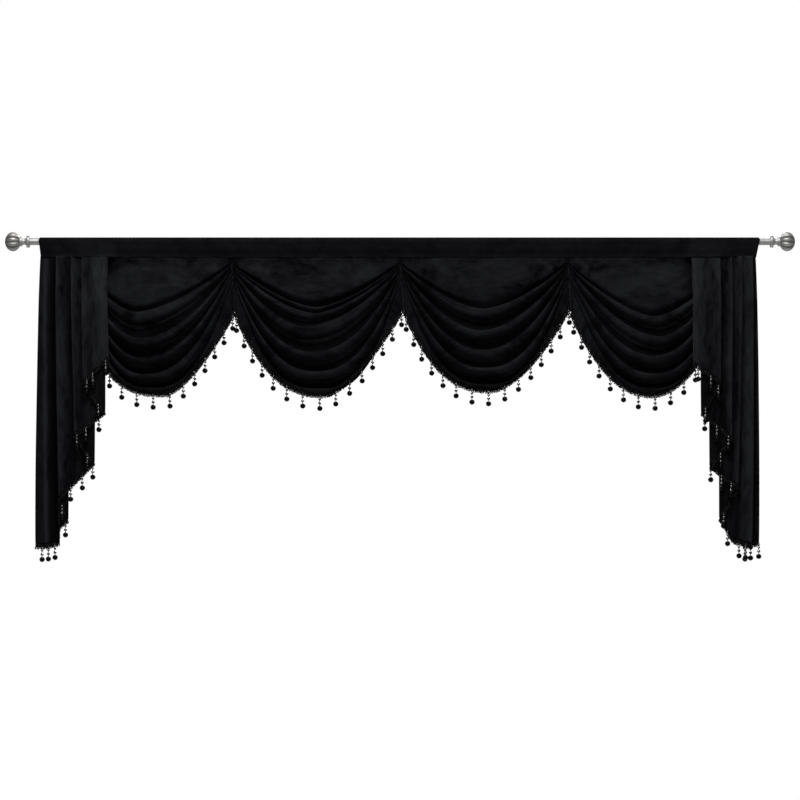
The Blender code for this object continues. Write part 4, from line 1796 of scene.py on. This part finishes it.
@dataclass
class Studio:
    """The white surround, soft lights, pale floor and camera."""

    frame_width: float = 2.2069
    middle_z: float = -0.4367
    distance: float = 9.0
    floor_z: float = -2.25
    ambient: float = 0.007
    mirrored: float = 0.20
    lamps: tuple[Lamp, ...] = (
        Lamp("key", (-0.2, -2.0, 3.3), (0, 0, -0.3), (2.0, 0.8), 150.0),
        Lamp("fill", (0.6, -4.2, 1.0), (0, 0, -0.4), (0.4, 0.4), 13.0),
        Lamp("back", (0.6, 3.8, 1.8), (0, 0, -0.4), (2.4, 1.2), 190.0),
    )

    def surround(self) -> None:
        """A white world: plain white to the camera, pale in shiny things, and a faint light elsewhere."""
        world = bpy.data.worlds.new("white_surround")
        bpy.context.scene.world = world
        world.use_nodes = True
        g = Graph(world.node_tree)
        back = world.node_tree.nodes["Background"]
        back.inputs[0].default_value = (1, 1, 1, 1)
        path = g.add("ShaderNodeLightPath")
        dim = g.spread(path.outputs["Is Glossy Ray"], 0.0, 1.0, self.ambient, self.mirrored)
        strength = g.spread(path.outputs["Is Camera Ray"], 0.0, 1.0, dim, 1.0)
        g.tree.links.new(strength, back.inputs[1])

    def floor(self, finishes: Finishes) -> None:
        """The floor under the valance, below the picture.

        Args:
            finishes: The materials.
        """
        bm = bmesh.new()
        bmesh.ops.create_grid(bm, x_segments=1, y_segments=1, size=6.0)
        bmesh.ops.translate(bm, verts=bm.verts, vec=(0, -0.5, self.floor_z))
        finished("floor", bm, [finishes.floor])

    def camera(self) -> None:
        """A level camera straight in front."""
        data = bpy.data.cameras.new("camera")
        data.lens = data.sensor_width * self.distance / self.frame_width
        data.clip_end = 60.0
        made = bpy.data.objects.new("camera", data)
        made.location = (0, -self.distance, self.middle_z)
        made.rotation_euler = (math.pi / 2, 0, 0)
        bpy.context.scene.collection.objects.link(made)
        bpy.context.scene.camera = made

    def build(self, finishes: Finishes) -> None:
        """Makes the studio.

        Args:
            finishes: The materials.
        """
        bpy.context.scene.view_settings.view_transform = "Standard"
        self.surround()
        self.floor(finishes)
        self.camera()
        for lamp in self.lamps:
            lamp.build()


# The valance's own pieces

SWAGS = (
    Swag(1, -0.4262, 0.565, (3.00, 1.47), 0.010, (
        Fold(-0.1950, 0.380, 0.0300, 1.60),
        Fold(-0.2668, 0.410, 0.0390, 1.90),
        Fold(-0.3203, 0.425, 0.0430, 2.10),
        Fold(-0.3655, 0.440, 0.0440, 2.30),
        Fold(-0.4035, 0.480, 0.0420, 2.60),
    )),
    Swag(2, -0.4290, 0.535, (2.48, 1.52), 0.011, (
        Fold(-0.1815, 0.500, 0.0290, 1.55, 0.0045, 0.0035),
        Fold(-0.1975, 0.490, 0.0310, 1.60, 0.0125),
        Fold(-0.2339, 0.440, 0.0380, 1.80),
        Fold(-0.3043, 0.480, 0.0440, 2.10),
        Fold(-0.3581, 0.500, 0.0450, 2.35),
        Fold(-0.4050, 0.520, 0.0420, 2.70),
    ), (0.13, 0.16, 0.20, 0.26, 0.33, 0.41)),
    Swag(3, -0.4159, 0.514, (2.46, 1.71), 0.015, (
        Fold(-0.1857, 0.490, 0.0300, 1.60),
        Fold(-0.2452, 0.480, 0.0380, 1.80),
        Fold(-0.2988, 0.490, 0.0430, 2.05),
        Fold(-0.3484, 0.500, 0.0450, 2.30),
        Fold(-0.3935, 0.510, 0.0420, 2.60),
    ), belly=-0.24),
    Swag(4, -0.4291, 0.504, (2.19, 1.91), 0.018, (
        Fold(-0.2066, 0.530, 0.0310, 1.55),
        Fold(-0.2618, 0.560, 0.0390, 1.75),
        Fold(-0.3153, 0.525, 0.0430, 2.00),
        Fold(-0.3639, 0.530, 0.0440, 2.25),
        Fold(-0.4036, 0.520, 0.0410, 2.45),
    )),
)

TAIL_LEFT = Tail(Side.LEFT, (
    Crease(Bend.EDGE, -0.8041, -0.7981, -0.3236, drops=(-0.8063, -0.8414, -0.8576)),
    Crease(Bend.TURN, -0.8745, -0.8678, -0.3925, drops=(-0.8265,)),
    Crease(Bend.TURN, -0.8102, -0.8102, -0.4753, drops=(-0.8248, -0.8612, -0.8855)),
    Crease(Bend.TURN, -0.9059, -0.8913, -0.5388, drops=(-0.8576,)),
    Crease(Bend.TURN, -0.8342, -0.8406, -0.6146, drops=(-0.8430, -0.8728, -0.9037)),
    Crease(Bend.TURN, -0.9470, -0.9357, -0.7098, drops=(-0.9293,)),
    Crease(Bend.TURN, -0.9076, -0.9153, -0.7732, drops=(-0.9200,)),
    Crease(Bend.RIDGE, -0.9400, -0.9370, -0.7898),
    Crease(Bend.RIDGE, -0.9460, -0.9405, -0.8370, back=3, drops=(-0.9505, -0.9685)),
    Crease(Bend.RIDGE, -0.9765, -0.9738, -0.8450, out=0.0050, drops=(-0.9862,)),
    Crease(Bend.EDGE, -0.9915, -1.0044, -0.8450),
), front_strokes=(0.4, 1.0, 0.6, -0.2, 0.8), ridge=9)
TAIL_RIGHT = Tail(Side.RIGHT, (
    Crease(Bend.EDGE, 0.8028, 0.8028, -0.3388, drops=(0.8160,)),
    Crease(Bend.RIDGE, 0.8541, 0.8510, -0.3732, out=0.0045, drops=(0.8519,)),
    Crease(Bend.TURN, 0.8811, 0.8778, -0.3898, drops=(0.8726, 0.8373)),
    Crease(Bend.TURN, 0.8240, 0.8284, -0.4781, drops=(0.8359, 0.8684, 0.9007)),
    Crease(Bend.TURN, 0.9136, 0.9095, -0.5470, drops=(0.8800,)),
    Crease(Bend.TURN, 0.8494, 0.8524, -0.6243, drops=(0.8508, 0.8836, 0.9095)),
    Crease(Bend.TURN, 0.9426, 0.9285, -0.6811, drops=(0.8897,)),
    Crease(Bend.TURN, 0.8792, 0.8811, -0.7677, drops=(0.9004,)),
    Crease(Bend.RIDGE, 0.9140, 0.9185, -0.8312, out=-0.0015, drops=(0.9324, 0.9512)),
    Crease(Bend.TURN, 0.9713, 0.9666, -0.8430, drops=(0.9505,)),
    Crease(Bend.TURN, 0.9517, 0.9490, -0.8440, drops=(0.9660, 0.9892)),
    Crease(Bend.EDGE, 0.9807, 0.9903, -0.8367),
))


def main() -> None:
    """Builds the studio and then every piece of the valance, in order."""
    logging.basicConfig(level=logging.INFO, format="%(message)s")
    finishes = Finishes()
    Studio().build(finishes)
    Rod().build(finishes)
    for side in Side:
        Finial(side).build(finishes)
    Heading().build(finishes)
    for swag in SWAGS:
        swag.build(finishes)
        Trim(f"trim_swag_{swag.number}", *swag.drop_places(), seed=swag.number).build(finishes)
    for tail in (TAIL_LEFT, TAIL_RIGHT):
        tail.build(finishes)
        name = f"trim_tail_{tail.side.name.lower()}"
        Trim(name, *tail.drop_places(), seed=20 + tail.side.value).build(finishes)


if __name__ == "__main__":
    main()
